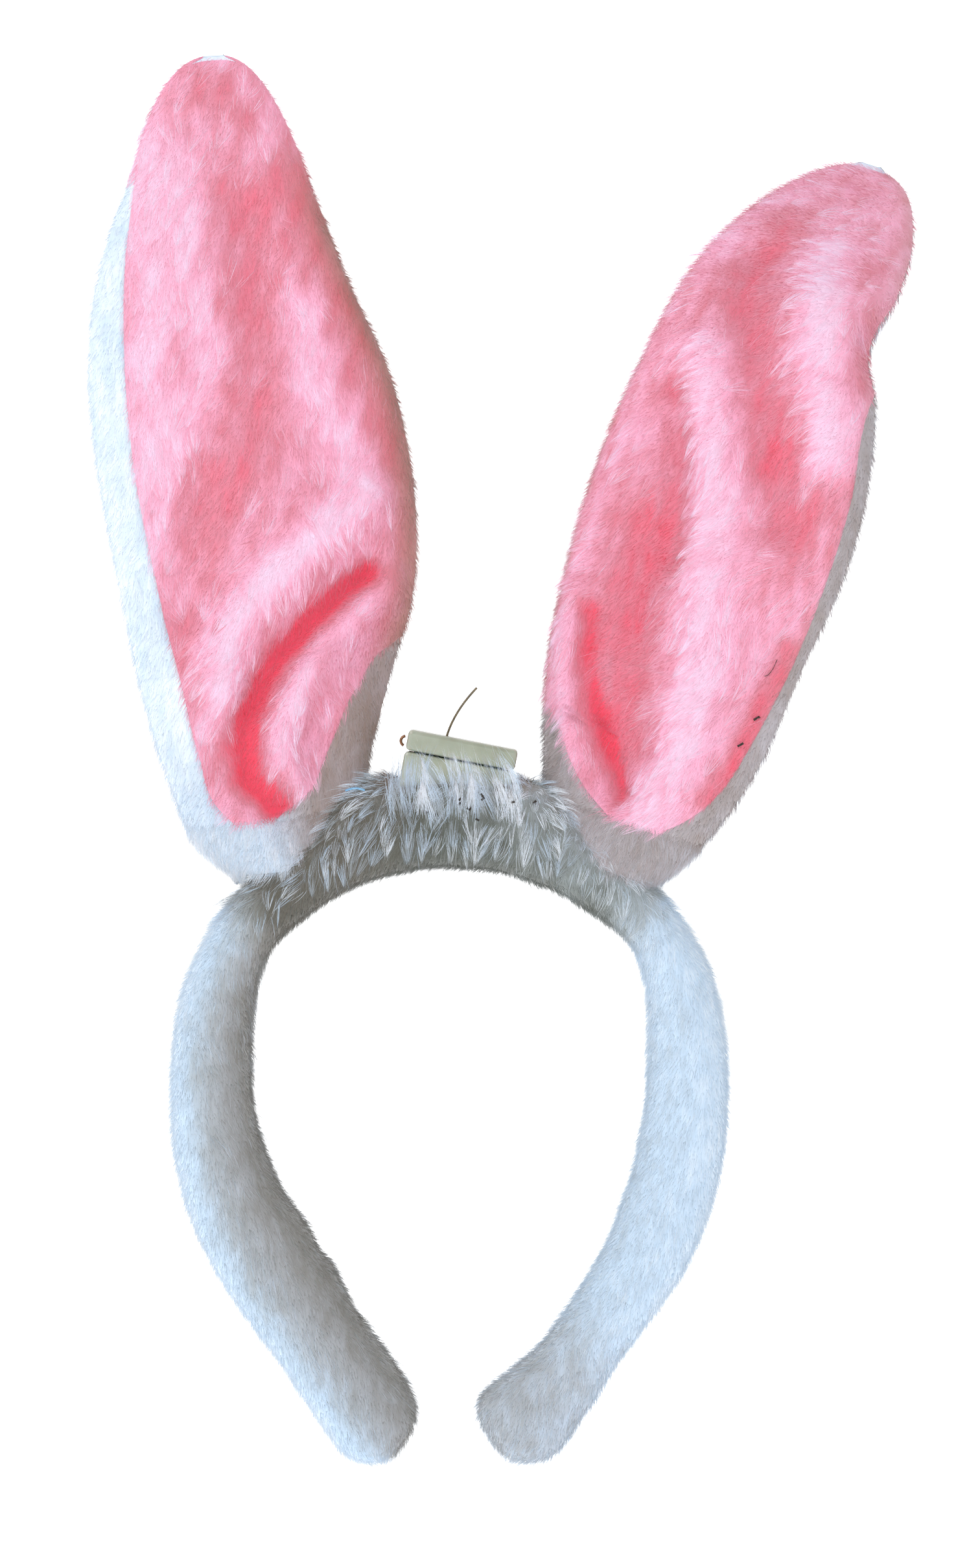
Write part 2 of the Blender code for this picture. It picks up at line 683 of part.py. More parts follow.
def make_led(name, tilt):
    """A small domed lamp between the panels, above the fork of the wire, and its lead."""
    profile = [(0.0, 0.0), (LED_RADIUS, 0.0), (LED_RADIUS, LED_BARREL)]
    for degrees in LED_DOME_DEGREES:
        angle = math.radians(degrees)
        profile.append((LED_RADIUS * math.cos(angle), LED_BARREL + LED_RADIUS * math.sin(angle)))
    profile.append((0.0, LED_BARREL + LED_RADIUS))
    mesh = bpy.data.meshes.new(name + "_ear_led")
    edges = [(i, i + 1) for i in range(len(profile) - 1)]
    mesh.from_pydata([(x, 0, z) for x, z in reversed(profile)], edges, [])
    lamp = finish(mesh, name + "_ear_led", LED_LENS, smooth=False)
    turn = lamp.modifiers.new("turn", "SCREW")
    turn.axis = "Z"
    turn.steps = LED_STEPS
    turn.render_steps = LED_STEPS
    turn.use_merge_vertices = True
    turn.merge_threshold = 0.00005
    hang(lamp, tilt, TILT_HEIGHT - LED_HEIGHT)
    path = [
        (0, LED_LEAD_START, LED_HEIGHT - GAP),
        (0, LED_LEAD_OFFSET, LED_HEIGHT - LED_LEAD_DROP),
        (0, LED_LEAD_OFFSET, LED_LEAD_END),
    ]
    hang(wire(name + "_led_lead", path, LED_LEAD_RADIUS, LEAD_BROWN), tilt, TILT_HEIGHT)


# The battery box


def box_stand():
    return Matrix.Translation(BOX_FLOOR) @ Matrix.Rotation(BOX_TILT, 4, "Y")


def make_box_shell(name, low, height, open_towards, stand):
    outside = box_mesh(name, (BOX_LENGTH, BOX_DEPTH, height), (0, 0, low + height / 2))
    shell = finish(outside, name, BOX_PLASTIC)
    shell.parent = stand
    soften(shell, BOX_EDGE)
    inside = (BOX_LENGTH - 2 * BOX_WALL, BOX_DEPTH - 2 * BOX_WALL, height)
    shift = BOX_WALL * open_towards
    hollow = cutter(box_mesh(name + "_hollow", inside, (0, 0, low + height / 2 + shift)), name + "_hollow")
    hollow.parent = stand
    cut(shell, hollow)
    return shell


def make_battery_box():
    stand = axis_empty("battery_box_stand", box_stand())
    lid_stand = axis_empty("battery_box_lid_slide", Matrix.Identity(4), stand)
    base = make_box_shell("battery_box_base", 0.0, BASE_HEIGHT, 1, stand)
    lid = make_box_shell("battery_box_lid", BASE_HEIGHT + GAP, LID_HEIGHT, -1, lid_stand)
    place = (BUTTON_AT, BOX_DEPTH / 2, BUTTON_HEIGHT)
    hole = cutter(disc_mesh("button_hole", BUTTON_RADIUS + GAP, BUTTON_HOLE_DEPTH, place), "button_hole")
    hole.parent = stand
    cut(base, hole)
    hole = cutter(box_mesh("lead_hole", LEAD_HOLE, (LEAD_AT, 0, BASE_HEIGHT + LID_HEIGHT)), "lead_hole")
    hole.parent = lid_stand
    cut(lid, hole)
    for name, at in (("button_cell_left", -CELL_SPREAD), ("button_cell_right", CELL_SPREAD)):
        mesh = disc_mesh(name, CELL_RADIUS, CELL_THICKNESS, (at + CELL_SHIFT, CELL_MIDDLE, CELL_HEIGHT))
        cell = finish(mesh, name, CELL_STEEL)
        soften(cell, CELL_EDGE, 1)
        cell.parent = stand
    mesh = box_mesh("contact_plate", PLATE_SIZE, (CELL_SHIFT, PLATE_MIDDLE, CELL_HEIGHT))
    finish(mesh, "contact_plate", CONTACT_STEEL).parent = stand
    mesh = box_mesh("circuit_board", BOARD_SIZE, (0, BOARD_MIDDLE, BOARD_HEIGHT))
    finish(mesh, "circuit_board", BOARD_GREEN).parent = stand
    mesh = box_mesh("switch_body", SWITCH_SIZE, (BUTTON_AT, SWITCH_MIDDLE, BUTTON_HEIGHT))
    switch = finish(mesh, "switch_body", SWITCH_BLACK)
    soften(switch, SWITCH_EDGE, 1)
    switch.parent = stand
    make_contact_spring(stand)
    make_switch_button(stand)
    make_lead_wire(lid_stand)
    make_copper_loop(stand)


def make_contact_spring(stand):
    """A flat spiral that presses the cells back."""
    count = round(SPRING_TURNS * SPRING_STEPS)
    points = []
    for i in range(count + 1):
        angle = 2 * math.pi * i / SPRING_STEPS
        radius = SPRING_INNER + (SPRING_OUTER - SPRING_INNER) * i / count
        across = CELL_SHIFT - CELL_SPREAD + radius * math.cos(angle)
        points.append((across, SPRING_MIDDLE, CELL_HEIGHT + radius * math.sin(angle)))
    wire("contact_spring", points, SPRING_RADIUS, CONTACT_STEEL).parent = stand


def make_switch_button(stand):
    travel = Matrix.Translation((BUTTON_AT, BUTTON_START, BUTTON_HEIGHT))
    slide = axis_empty("switch_press_slide", travel, stand)
    length = BUTTON_END - BUTTON_START
    mesh = disc_mesh("switch_button", BUTTON_RADIUS, length, (0, length / 2, 0))
    button = finish(mesh, "switch_button", BUTTON_WHITE)
    soften(button, BUTTON_EDGE, 1)
    button.parent = slide


def make_lead_wire(stand):
    """A thin lead that leaves the lid and bows upwards to its free end."""
    start = BASE_HEIGHT + LID_HEIGHT - LEAD_INSIDE
    points = []
    for i in range(LEAD_POINTS):
        share = i / (LEAD_POINTS - 1)
        across = LEAD_AT + LEAD_REACH * share**LEAD_BOW_POWER
        points.append((across, LEAD_FORWARD * share, start + (LEAD_INSIDE + LEAD_RISE) * share))
    wire("lead_wire", points, LEAD_RADIUS, LEAD_BROWN).parent = stand


def make_copper_loop(stand):
    """A small open loop of bare wire standing on the box's left end."""
    points = []
    for i in range(LOOP_POINTS):
        angle = LOOP_HALF_SWEEP * (2 * i / (LOOP_POINTS - 1) - 1)
        across = -BOX_LENGTH / 2 - LOOP_FROM_WALL - LOOP_RADIUS * math.cos(angle)
        points.append((across, LOOP_FORWARD, LOOP_HEIGHT + LOOP_RADIUS * math.sin(angle)))
    wire("copper_wire_loop", points, LOOP_WIRE_RADIUS, COPPER).parent = stand


make_crown()
make_arm("left", -1)
make_arm("right", 1)
for ear_name, ear_setup in EARS.items():
    make_ear(ear_name, ear_setup)
make_battery_box()
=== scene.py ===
"""Animal ears headband: plush covers, pile, finishes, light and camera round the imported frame."""

import json
import math

import bpy
import numpy as np
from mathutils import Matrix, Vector
from mathutils.kdtree import KDTree


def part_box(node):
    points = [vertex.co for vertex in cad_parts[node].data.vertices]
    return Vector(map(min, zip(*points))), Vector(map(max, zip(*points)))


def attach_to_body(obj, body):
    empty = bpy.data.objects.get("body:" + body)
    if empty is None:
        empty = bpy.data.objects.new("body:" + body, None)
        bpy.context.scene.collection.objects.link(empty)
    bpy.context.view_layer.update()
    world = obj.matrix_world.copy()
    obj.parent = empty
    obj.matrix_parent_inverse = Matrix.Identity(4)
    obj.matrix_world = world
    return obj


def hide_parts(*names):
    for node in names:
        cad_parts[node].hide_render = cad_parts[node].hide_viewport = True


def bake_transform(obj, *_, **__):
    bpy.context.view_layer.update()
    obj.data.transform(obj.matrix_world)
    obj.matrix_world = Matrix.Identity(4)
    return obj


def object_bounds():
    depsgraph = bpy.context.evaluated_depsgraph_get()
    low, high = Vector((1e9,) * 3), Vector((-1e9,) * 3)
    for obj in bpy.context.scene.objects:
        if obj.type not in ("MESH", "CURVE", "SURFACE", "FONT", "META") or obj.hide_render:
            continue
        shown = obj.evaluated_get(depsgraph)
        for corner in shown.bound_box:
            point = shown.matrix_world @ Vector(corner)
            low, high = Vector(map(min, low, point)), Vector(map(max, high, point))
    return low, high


MM = 0.001
SIDES = ("left", "right")
SIGN = {"left": -1, "right": 1}

# Hoop centre line, in metres and radians, as the frame has it.
ARCS = ((0.0642, math.radians(27)), (0.0519, math.radians(55)), (0.0927, math.radians(43)))
TIP_STRAIGHT = 0.0421
HOOP_HALF = sum(radius * sweep for radius, sweep in ARCS) + TIP_STRAIGHT
# Half-widths of the tube, outwards and front to back.
CROWN_HALF_OUT = 0.0070
SIDE_HALF_OUT = 0.0080
TIP_HALF_OUT = 0.0072
HALF_DEEP = 0.0110
TIP_HALF_DEEP = 0.0085
SLEEVE_EXTRA = 0.0009
SLEEVE_WALL = 0.0012
FOAM_INSET = 0.0022
FOAM_WALL = 0.0012
SIDE_SWELL = 0.0012
TIP_SWELL = 0.0022
TIP_LONGER = 0.0047
LEFT_INNER_SWELL = 0.0058
SHOULDER_THINNER = {"left": 0.0025, "right": 0.0040}
MOUND = 0.0085
OVAL_POWER = 2.4
CROWN_PIECE_END = 0.058
BASE_HEIGHT = 0.0092
BOX_HALF_LONG = 0.0140
BOX_HALF_DEEP = 0.0061
BOX_SINK = 0.0005
CORE_HALF = 0.0009
FLEX_FROM = 0.064
FLEX_TO = 0.084

# Ears, in millimetres in each ear's own frame: x along the tilt axis, y backwards, h up the ear.
COVER_BOTTOM = -9.0
SKIRT_TOP = 3.0
GATHER_TOP = 40.0
BEND_FROM = 104.5
BEND_TO = 154.5
TIP_FROM = 163.0
COVER_WALL = 1.1
TUCK = 0.25
SEAM_RADIUS = 0.3
WIRE_RADIUS = 0.6

# Cloth simulation of the ear covers; the motion's cap is in millimetres.
CLOTH_SETTINGS = {
    "quality": 6, "mass": 0.15, "tension_stiffness": 20, "compression_stiffness": 20,
    "bending_stiffness": 0.4, "use_pressure": True, "uniform_pressure_force": 4, "vertex_group_mass": "held",
}
CLOTH_FRAMES = 20
MOTION_CAP = 4.0
FLATTER = 0.8

# Strands on the gather, the lower and the upper part of a panel: in the short coat and in the tufts.
PINK_COUNTS = ((8500, 4500), (20000, 12000), (20000, 12000))
WHITE_COUNTS = ((8500, 3000), (17000, 6000), (15000, 6000))
CROWN_COUNTS, ARM_COUNTS, SKIRT_COUNTS = (26000, 10000), (30000, 8000), (8000, 4000)
WISP_COUNT = 40000

WARM_LEVELS = 4
FUR_GRAIN = (1, 1, 0.3)
FLOOR_GLOW = 0.62
EARS = {
    "left": {
        "top": 188.5,
        "tip_x": 1.0,
        "low_x": (
            (-9, -12.5), (-2, -20.0), (14, -26.5), (35, -31), (62, -34.2), (93, -37), (118, -36.5),
            (140, -31.5), (163, -21.5),
        ),
        "high_x": (
            (-9, 12), (-2, 18), (14, 22), (36, 29.5), (52, 36.5), (72, 39.8), (90, 39.6), (108, 37),
            (130, 30), (163, 20),
        ),
        "seam_low": (
            (2, -12), (8, -17), (20, -20), (40, -23), (62, -26), (93, -29), (118, -28.5), (140, -26),
            (160, -21.5),
        ),
        "seam_high": ((2, -5), (10, 6), (18, 11), (34, 21), (44, 33), (52, 60)),
        "bend": 0.0,
        "folds": (
            (((25, 61), (14, 53), (1, 42), (-7, 29), (-8, 15), (-2, 7)), 5.2, 4.4),
            (((27, 79), (11, 69), (-2, 59), (-11, 50), (-14, 38)), -4.0, 6.0),
            (((30, 57), (15, 47), (7, 37), (0, 25), (1, 12)), -4.0, 4.5),
            (((-12, 100), (-14, 80), (-19, 55)), 2.5, 8.0),
            (((4, 150), (5, 125), (2, 100)), 2.0, 7.0),
            (((-14, 165), (-17, 130), (-22, 100)), -1.5, 7.0),
        ),
        # Painted shading along paths (path, step, width): painted shade where the step is below zero, painted
        # highlight where it is above.
        "shades": (
            (((26, 61), (14, 53), (1, 42), (-7, 29), (-8, 15), (-2, 7)), -0.75, 3.2),
            (((-16, 167), (-20, 147), (-21, 126), (-24, 100), (-26, 75)), 0.22, 6.0),
            (((-8, 160), (-11, 146), (-9, 125), (-9, 109), (-18, 94)), 0.20, 4.0),
            (((4, 155), (4, 133), (6, 118), (0, 103), (-3, 92)), -0.16, 8.0),
            (((-1, 181), (7, 174)), -0.10, 5.0),
            (((16, 155), (27, 128), (34, 105), (36, 85)), -0.17, 8.0),
            (((17, 126), (15, 111), (23, 96), (27, 85)), 0.22, 5.5),
            (((-10, 86), (-16, 74)), -0.15, 9.0),
            (((-21, 52), (-22, 36)), -0.10, 6.0),
            (((29, 80), (11, 70), (-2, 60), (-10, 52), (-14, 36)), 0.30, 4.5),
            (((24, 55), (15, 49), (8, 41), (1, 28), (-1, 19)), 0.20, 3.5),
            (((-12, 22), (-12, 14)), -0.20, 3.0),
        ),
    },
    "right": {
        "top": 190.0,
        "tip_x": -5.0,
        "low_x": (
            (-9, -12), (-2, -17.5), (10, -22), (30, -28.8), (52, -32.5), (74, -34), (96, -33.5), (119, -31),
            (140, -28.7), (153, -27), (163, -25),
        ),
        "high_x": (
            (-9, 13), (-2, 18.5), (8, 24), (27, 29.8), (50, 32), (74, 35.2), (96, 34.5), (112, 31.5),
            (120, 29.2), (127, 26), (135, 24), (145, 23), (163, 18.5),
        ),
        "seam_low": ((2, 3), (8, -8), (14, -14), (22, -22), (30, -40)),
        "seam_high": (
            (2, 12), (10, 20), (18, 24.3), (31, 27.6), (46, 30.2), (74, 32.6), (96, 32), (114, 29.5),
            (127, 30),
        ),
        "bend": -math.radians(42),
        "folds": (
            (((-12, 117), (-8, 105), (0, 91), (4, 76), (8, 59), (12, 45), (14, 31), (13, 16)), -3.5, 6.0),
            (((-13, 142), (-7, 124), (4, 109), (12, 97), (18, 83)), 4.5, 6.5),
            (((9, 134), (17, 121), (22, 111), (25, 103)), -2.5, 6.0),
            (((-18, 106), (-12, 92), (-8, 77), (-6, 67)), 3.0, 4.0),
            (((-15, 70), (-12, 55), (-9, 39), (-4, 24), (0, 12)), 4.5, 7.5),
            (((-22, 48), (-19, 38), (-15, 30), (-8, 21), (0, 10)), 3.0, 2.8),
            (((-27, 52), (-25, 40), (-21, 28), (-13, 14)), -3.0, 3.5),
        ),
        # Painted shading along paths (path, step, width): painted shade where the step is below zero, painted
        # highlight where it is above.
        "shades": (
            (
                ((-12, 117), (-8, 105), (0, 91), (4, 76), (8, 59), (12, 45), (14, 31), (12, 18), (9, 8)),
                0.26, 6.0,
            ),
            (((-11, 157), (-13, 138), (-7, 124), (4, 109), (12, 97), (18, 83)), -0.24, 7.5),
            (((3, 152), (9, 134), (17, 121), (22, 111), (25, 103)), 0.28, 5.0),
            (((16, 146), (21, 130), (24, 118)), -0.10, 3.0),
            (((-18, 106), (-12, 92), (-8, 77), (-6, 67)), -0.19, 5.5),
            (((-15, 72), (-12, 55), (-9, 39), (-5, 25)), -0.28, 8.5),
            (((-22, 50), (-19, 38), (-15, 30), (-8, 21), (1, 9)), -0.42, 2.6),
            (((-27, 46), (-22, 28), (-14, 14)), 0.16, 3.4),
            (((29, 55), (27, 39), (25, 25), (22, 14)), -0.30, 3.0),
            (((28, 105), (27, 93), (24, 82)), -0.12, 4.0),
            (((-15, 165), (-22, 146)), 0.10, 5.0),
        ),
    },
}

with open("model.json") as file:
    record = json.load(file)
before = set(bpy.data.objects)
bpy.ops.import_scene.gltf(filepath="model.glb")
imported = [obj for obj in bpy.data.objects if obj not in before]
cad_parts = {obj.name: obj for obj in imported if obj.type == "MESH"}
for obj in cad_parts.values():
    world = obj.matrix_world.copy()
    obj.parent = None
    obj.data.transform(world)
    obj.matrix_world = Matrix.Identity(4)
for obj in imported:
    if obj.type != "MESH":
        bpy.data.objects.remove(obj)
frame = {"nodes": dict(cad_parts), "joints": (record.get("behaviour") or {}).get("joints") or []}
cad_low, cad_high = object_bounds()
joints = {j["name"]: j for j in frame["joints"]}
rng = np.random.default_rng(839)


def unit(v):
    return v / np.maximum(np.linalg.norm(v, axis=-1, keepdims=True), 1e-12)


def eased(t):
    t = np.clip(t, 0, 1)
    return t * t * (3 - 2 * t)


def curve(knots, at):
    """Smooth curve through (place, value) knots, read at each place; straight on beyond the ends."""
    x = np.array([k[0] for k in knots], float)
    y = np.array([k[1] for k in knots], float)
    slope = np.gradient(y, x)
    i = np.clip(np.searchsorted(x, at) - 1, 0, len(x) - 2)
    span = x[i + 1] - x[i]
    t = np.clip((at - x[i]) / span, 0, 1)
    a, b = 2 * t**3 - 3 * t**2 + 1, t**3 - 2 * t**2 + t
    return a * y[i] + b * span * slope[i] + (1 - a) * y[i + 1] + (t**3 - t**2) * span * slope[i + 1]


def ripple(a, b, wavelength, seed):
    """Smooth seeded waves over two coordinates, roughly between -1 and 1."""
    waves = np.random.default_rng(seed)
    total = 0
    for _ in range(7):
        turn = waves.uniform(0, math.pi)
        pitch = wavelength * waves.uniform(0.6, 1.6)
        phase = waves.uniform(0, 2 * math.pi)
        total = total + np.sin((a * math.cos(turn) + b * math.sin(turn)) * 2 * math.pi / pitch + phase)
    return total / 3.2


# ---------------------------------------------------------------- materials


def new_material(name):
    mat = bpy.data.materials.new(name)
    mat.use_nodes = True
    return mat, mat.node_tree, mat.node_tree.nodes["Principled BSDF"]


def feed(tree, node, **inputs):
    """Sets a node's inputs to values or links them to other nodes' outputs."""
    for name, value in inputs.items():
        socket = node.inputs[name.replace("_", " ")]
        if isinstance(value, bpy.types.NodeSocket):
            tree.links.new(value, socket)
        else:
            socket.default_value = value
    return node


def add_node(tree, kind, **inputs):
    return feed(tree, tree.nodes.new("ShaderNode" + kind), **inputs)


def ramp_node(tree, source, stops):
    node = add_node(tree, "ValToRGB", Fac=source)
    elements = node.color_ramp.elements
    while len(elements) < len(stops):
        elements.new(0.5)
    for element, (place, colour) in zip(elements, stops):
        element.position = place
        element.color = (*colour, 1)
    return node.outputs["Color"]


def noise_node(tree, scale, detail=3.0, stretch=(1, 1, 1)):
    where = add_node(tree, "TexCoord").outputs["Object"]
    mapping = add_node(tree, "Mapping", Vector=where, Scale=stretch)
    noise = add_node(tree, "TexNoise", Vector=mapping.outputs["Vector"], Scale=scale, Detail=detail)
    return noise.outputs["Fac"]


def relief_node(tree, height, strength, depth):
    return add_node(tree, "Bump", Height=height, Strength=strength, Distance=depth).outputs["Normal"]


def mottled(name, dark, light, scale, roughness, bump=0.0, **inputs):
    """A finish whose colour drifts between two tones with noise, with an optional fine relief."""
    mat, tree, shader = new_material(name)
    tones = ((0.35, linear(*dark)), (0.65, linear(*light)))
    colour = ramp_node(tree, noise_node(tree, scale), tones)
    feed(tree, shader, Base_Color=colour, Roughness=roughness, **inputs)
    if bump:
        feed(tree, shader, Normal=relief_node(tree, noise_node(tree, scale * 6, 2.0), bump, 0.0004))
    return mat


def maths(tree, operation, *values):
    node = tree.nodes.new("ShaderNodeMath")
    node.operation = operation
    for socket, value in zip(node.inputs, values):
        if isinstance(value, (int, float)):
            socket.default_value = value
        else:
            tree.links.new(value, socket)
    return node.outputs[0]


def two_ramps(tree, tone, warmth, cool_stops, warm_stops):
    """The cool ramp's colour at a tone, mixed with the warm ramp's by the painted warm shade."""
    mix = tree.nodes.new("ShaderNodeMix")
    mix.data_type = "RGBA"
    feed(tree, mix, Factor=warmth)
    sides = (socket for socket in mix.inputs if socket.type == "RGBA")
    for socket, stops in zip(sides, (cool_stops, warm_stops)):
        tree.links.new(ramp_node(tree, tone, stops), socket)
    return next(socket for socket in mix.outputs if socket.type == "RGBA")


def pile_material(name, cool_stops, warm_stops):
    """Plush pile: the strand's tone is in the map's u; v holds its painted warm shade in steps and the place
    along it, which paints shade at the root and highlight at the tip.
    """
    mat, tree, shader = new_material(name)
    uv = tree.nodes.new("ShaderNodeUVMap")
    uv.uv_map = "OFBake"
    split = add_node(tree, "SeparateXYZ", Vector=uv.outputs["UV"])
    level = maths(tree, "MULTIPLY", split.outputs["Y"], float(WARM_LEVELS))
    warmth = maths(tree, "DIVIDE", maths(tree, "FLOOR", level), WARM_LEVELS - 1.0)
    # Painted shade at the strand's root, painted highlight at its tip.
    painted_root_shade_tip_light = maths(tree, "MULTIPLY_ADD", maths(tree, "FRACT", level), 0.26, -0.12)
    tone = maths(tree, "ADD", split.outputs["X"], painted_root_shade_tip_light)
    colour = two_ramps(tree, tone, warmth, cool_stops, warm_stops)
    feed(tree, shader, Base_Color=colour, Roughness=0.5, Specular_IOR_Level=0.35, Sheen_Weight=0.2)
    return mat


def plush_material(name, cool_stops, warm_stops):
    """The cover under the pile: its colour follows the mesh's own tone attribute and warm mix attribute,
    which carry painted shade, painted highlight and painted warm shade, with the streaky grain of short fur.
    """
    mat, tree, shader = new_material(name)
    tone, warmth = (tree.nodes.new("ShaderNodeAttribute") for _ in range(2))
    tone.attribute_name, warmth.attribute_name = "tone", "warmth"
    grain = maths(tree, "MULTIPLY_ADD", noise_node(tree, 420, 4.0, FUR_GRAIN), 0.36, -0.18)
    shade = maths(tree, "ADD", tone.outputs["Fac"], grain)
    colour = two_ramps(tree, shade, warmth.outputs["Fac"], cool_stops, warm_stops)
    relief = relief_node(tree, noise_node(tree, 1100, 3.0, FUR_GRAIN), 0.5, 0.0006)
    feed(tree, shader, Base_Color=colour, Roughness=0.9, Sheen_Weight=0.3, Normal=relief)
    return mat


def linear(r, g, b):
    """sRGB 0..255 to linear."""
    return tuple(((c / 255 + 0.055) / 1.055) ** 2.4 if c > 10 else c / 3294.6 for c in (r, g, b))


def stops(*tones):
    return tuple((place, linear(*colour)) for place, *colour in tones)


# Cool and warm ramps over the tone: the low tones are painted shade, the high tones painted highlight, and
# the warm ramps give the painted warm shade.
PINK_TONES = (
    stops(
        (0.0, 240, 76, 102), (0.15, 230, 108, 130), (0.35, 222, 132, 152), (0.6, 248, 174, 204),
        (1.0, 252, 226, 251),
    ),
    stops((0.0, 140, 108, 98), (0.35, 180, 130, 122), (0.6, 195, 143, 149), (1.0, 218, 190, 196)),
)
WHITE_TONES = (
    stops(
        (0.0, 84, 88, 80), (0.25, 130, 137, 136), (0.5, 168, 178, 186), (0.7, 194, 216, 238),
        (1.0, 238, 246, 255),
    ),
    stops((0.0, 110, 88, 74), (0.25, 146, 124, 112), (0.5, 172, 158, 160), (1.0, 235, 226, 232)),
)
PINK_PILE = pile_material("pink_pile", *PINK_TONES)
WHITE_PILE = pile_material("white_pile", *WHITE_TONES)
PINK_CLOTH = plush_material("pink_plush_cover", *PINK_TONES)
WHITE_CLOTH = plush_material("white_plush_cover", *WHITE_TONES)
FILL = mottled("fibre_fill", (214, 216, 218), (240, 241, 242), 240, 0.95, 0.6)
FOAM = mottled("wound_foam", (196, 190, 168), (222, 218, 200), 900, 0.95, 0.8)
PLASTIC = mottled("hoop_plastic", (206, 206, 200), (222, 222, 216), 40, 0.4)
BOX = mottled(
    "box_plastic", (146, 151, 132), (168, 175, 160), 130, 0.3,
    Coat_Weight=0.25, Subsurface_Weight=0.15, Subsurface_Scale=0.002,
)
STEEL = mottled("steel_wire", (130, 130, 132), (170, 170, 172), 300, 0.35, Metallic=1.0)
CELL = mottled("cell_steel", (176, 178, 182), (206, 208, 212), 200, 0.25, Metallic=1.0)
CONTACT = mottled("contact_nickel", (186, 176, 150), (208, 198, 170), 260, 0.3, Metallic=1.0)
BOARD = mottled("board", (34, 84, 54), (48, 106, 70), 320, 0.5)
SWITCH = mottled("switch_body", (28, 28, 30), (48, 48, 50), 260, 0.5)
BUTTON = mottled("switch_button", (208, 208, 204), (226, 226, 222), 260, 0.4)
LACQUER = mottled("lead_lacquer", (74, 62, 40), (112, 98, 68), 500, 0.35)
COPPER = mottled("copper", (112, 76, 54), (150, 108, 80), 500, 0.35, Metallic=0.6)
LENS = mottled("led_lens", (216, 218, 210), (234, 236, 230), 300, 0.2)
THREAD = mottled("thread", (206, 206, 202), (232, 232, 230), 900, 0.8)
SEAM = mottled("seam", (206, 150, 160), (222, 176, 186), 700, 0.9)
DARK_FLECK = mottled("dark_lint", (34, 30, 28), (62, 56, 50), 900, 0.8)
BLUE_THREAD = mottled("blue_thread", (108, 160, 204), (140, 188, 222), 900, 0.7)

# The first name found in a CAD node's name gives its finish.
NODE_FINISH = (
    ("copper_wire_loop", COPPER), ("hoop_core", PLASTIC), ("foam_wrap", FOAM), ("plush_sleeve", WHITE_CLOTH),
    ("root_saddle", WHITE_CLOTH), ("wire_", STEEL), ("neck_binding", THREAD), ("front_", PINK_CLOTH),
    ("back_", WHITE_CLOTH), ("fill_", FILL), ("ear_led", LENS), ("led_lead", LACQUER), ("battery_box", BOX),
    ("button_cell", CELL), ("contact_", CONTACT), ("circuit_board", BOARD), ("switch_body", SWITCH),
    ("switch_button", BUTTON), ("lead_wire", LACQUER),
)


# ---------------------------------------------------------------- meshes


def link_mesh(name, verts, faces, material, uv=None, smooth=None):
    """A mesh object from arrays of equal-sided faces, smooth all over or in its first faces."""
    mesh = bpy.data.meshes.new(name)
    corners = faces.shape[1]
    mesh.vertices.add(len(verts))
    mesh.vertices.foreach_set("co", np.ascontiguousarray(verts, np.float32).ravel())
    mesh.loops.add(faces.size)
    mesh.loops.foreach_set("vertex_index", np.ascontiguousarray(faces, np.int32).ravel())
    mesh.polygons.add(len(faces))
    mesh.polygons.foreach_set("loop_start", np.arange(0, faces.size, corners, dtype=np.int32))
    mesh.polygons.foreach_set("use_smooth", np.arange(len(faces)) < (smooth or len(faces)))
    if uv is not None:
        layer = mesh.uv_layers.new(name="OFBake")
        layer.data.foreach_set("uv", np.ascontiguousarray(uv[faces.ravel()], np.float32).ravel())
    mesh.update(calc_edges=True)
    mesh.validate()
    mesh.materials.append(material)
    obj = bpy.data.objects.new(name, mesh)
    bpy.context.scene.collection.objects.link(obj)
    return obj


def grid_normals(points, wrap):
    """Unit normals of a grid: outward if rows rise and columns turn anticlockwise seen from above."""
    along = np.gradient(points, axis=0)
    if wrap:
        across = np.roll(points, -1, axis=1) - np.roll(points, 1, axis=1)
    else:
        across = np.gradient(points, axis=1)
    return unit(np.cross(across, along))


def grid_faces(rows, cols, wrap):
    r, c = np.meshgrid(np.arange(rows - 1), np.arange(cols if wrap else cols - 1), indexing="ij")
    d = (c + 1) % cols
    return np.stack([r * cols + c, r * cols + d, (r + 1) * cols + d, (r + 1) * cols + c], -1).reshape(-1, 4)


def halved(quads):
    """Two triangles for each four-cornered face."""
    return np.vstack([quads[:, [0, 1, 2]], quads[:, [0, 2, 3]]])


def shell(name, points, normals, wall, material, wrap, shades=()):
    """A closed thin sheet: the grid, its copy one wall inwards, and a border that joins them."""
    rows, cols = points.shape[:2]
    outer = points.reshape(-1, 3)
    inner = (points - normals * wall).reshape(-1, 3)
    faces = grid_faces(rows, cols, wrap)
    count = rows * cols
    back = faces[:, ::-1] + count
    index = np.arange(count).reshape(rows, cols)
    rims, strips = [(index[0], True), (index[-1], False)], []
    if not wrap:
        rims += [(index[:, 0], False), (index[:, -1], True)]
    for line, flip in rims:
        following = np.roll(line, -1)
        if not wrap:
            line, following = line[:-1], following[:-1]
        strip = np.stack([line, following, following + count, line + count], -1)
        strips.append(strip[:, ::-1] if flip else strip)
    both = np.vstack([outer, inner])
    sheet = link_mesh(name, both, np.vstack([faces, back, *strips]), material, smooth=2 * len(faces))
    for label, values in zip(("tone", "warmth"), shades):
        layer = sheet.data.attributes.new(label, "FLOAT", "POINT")
        layer.data.foreach_set("value", np.tile(values.ravel(), 2).astype(np.float32))
    return sheet


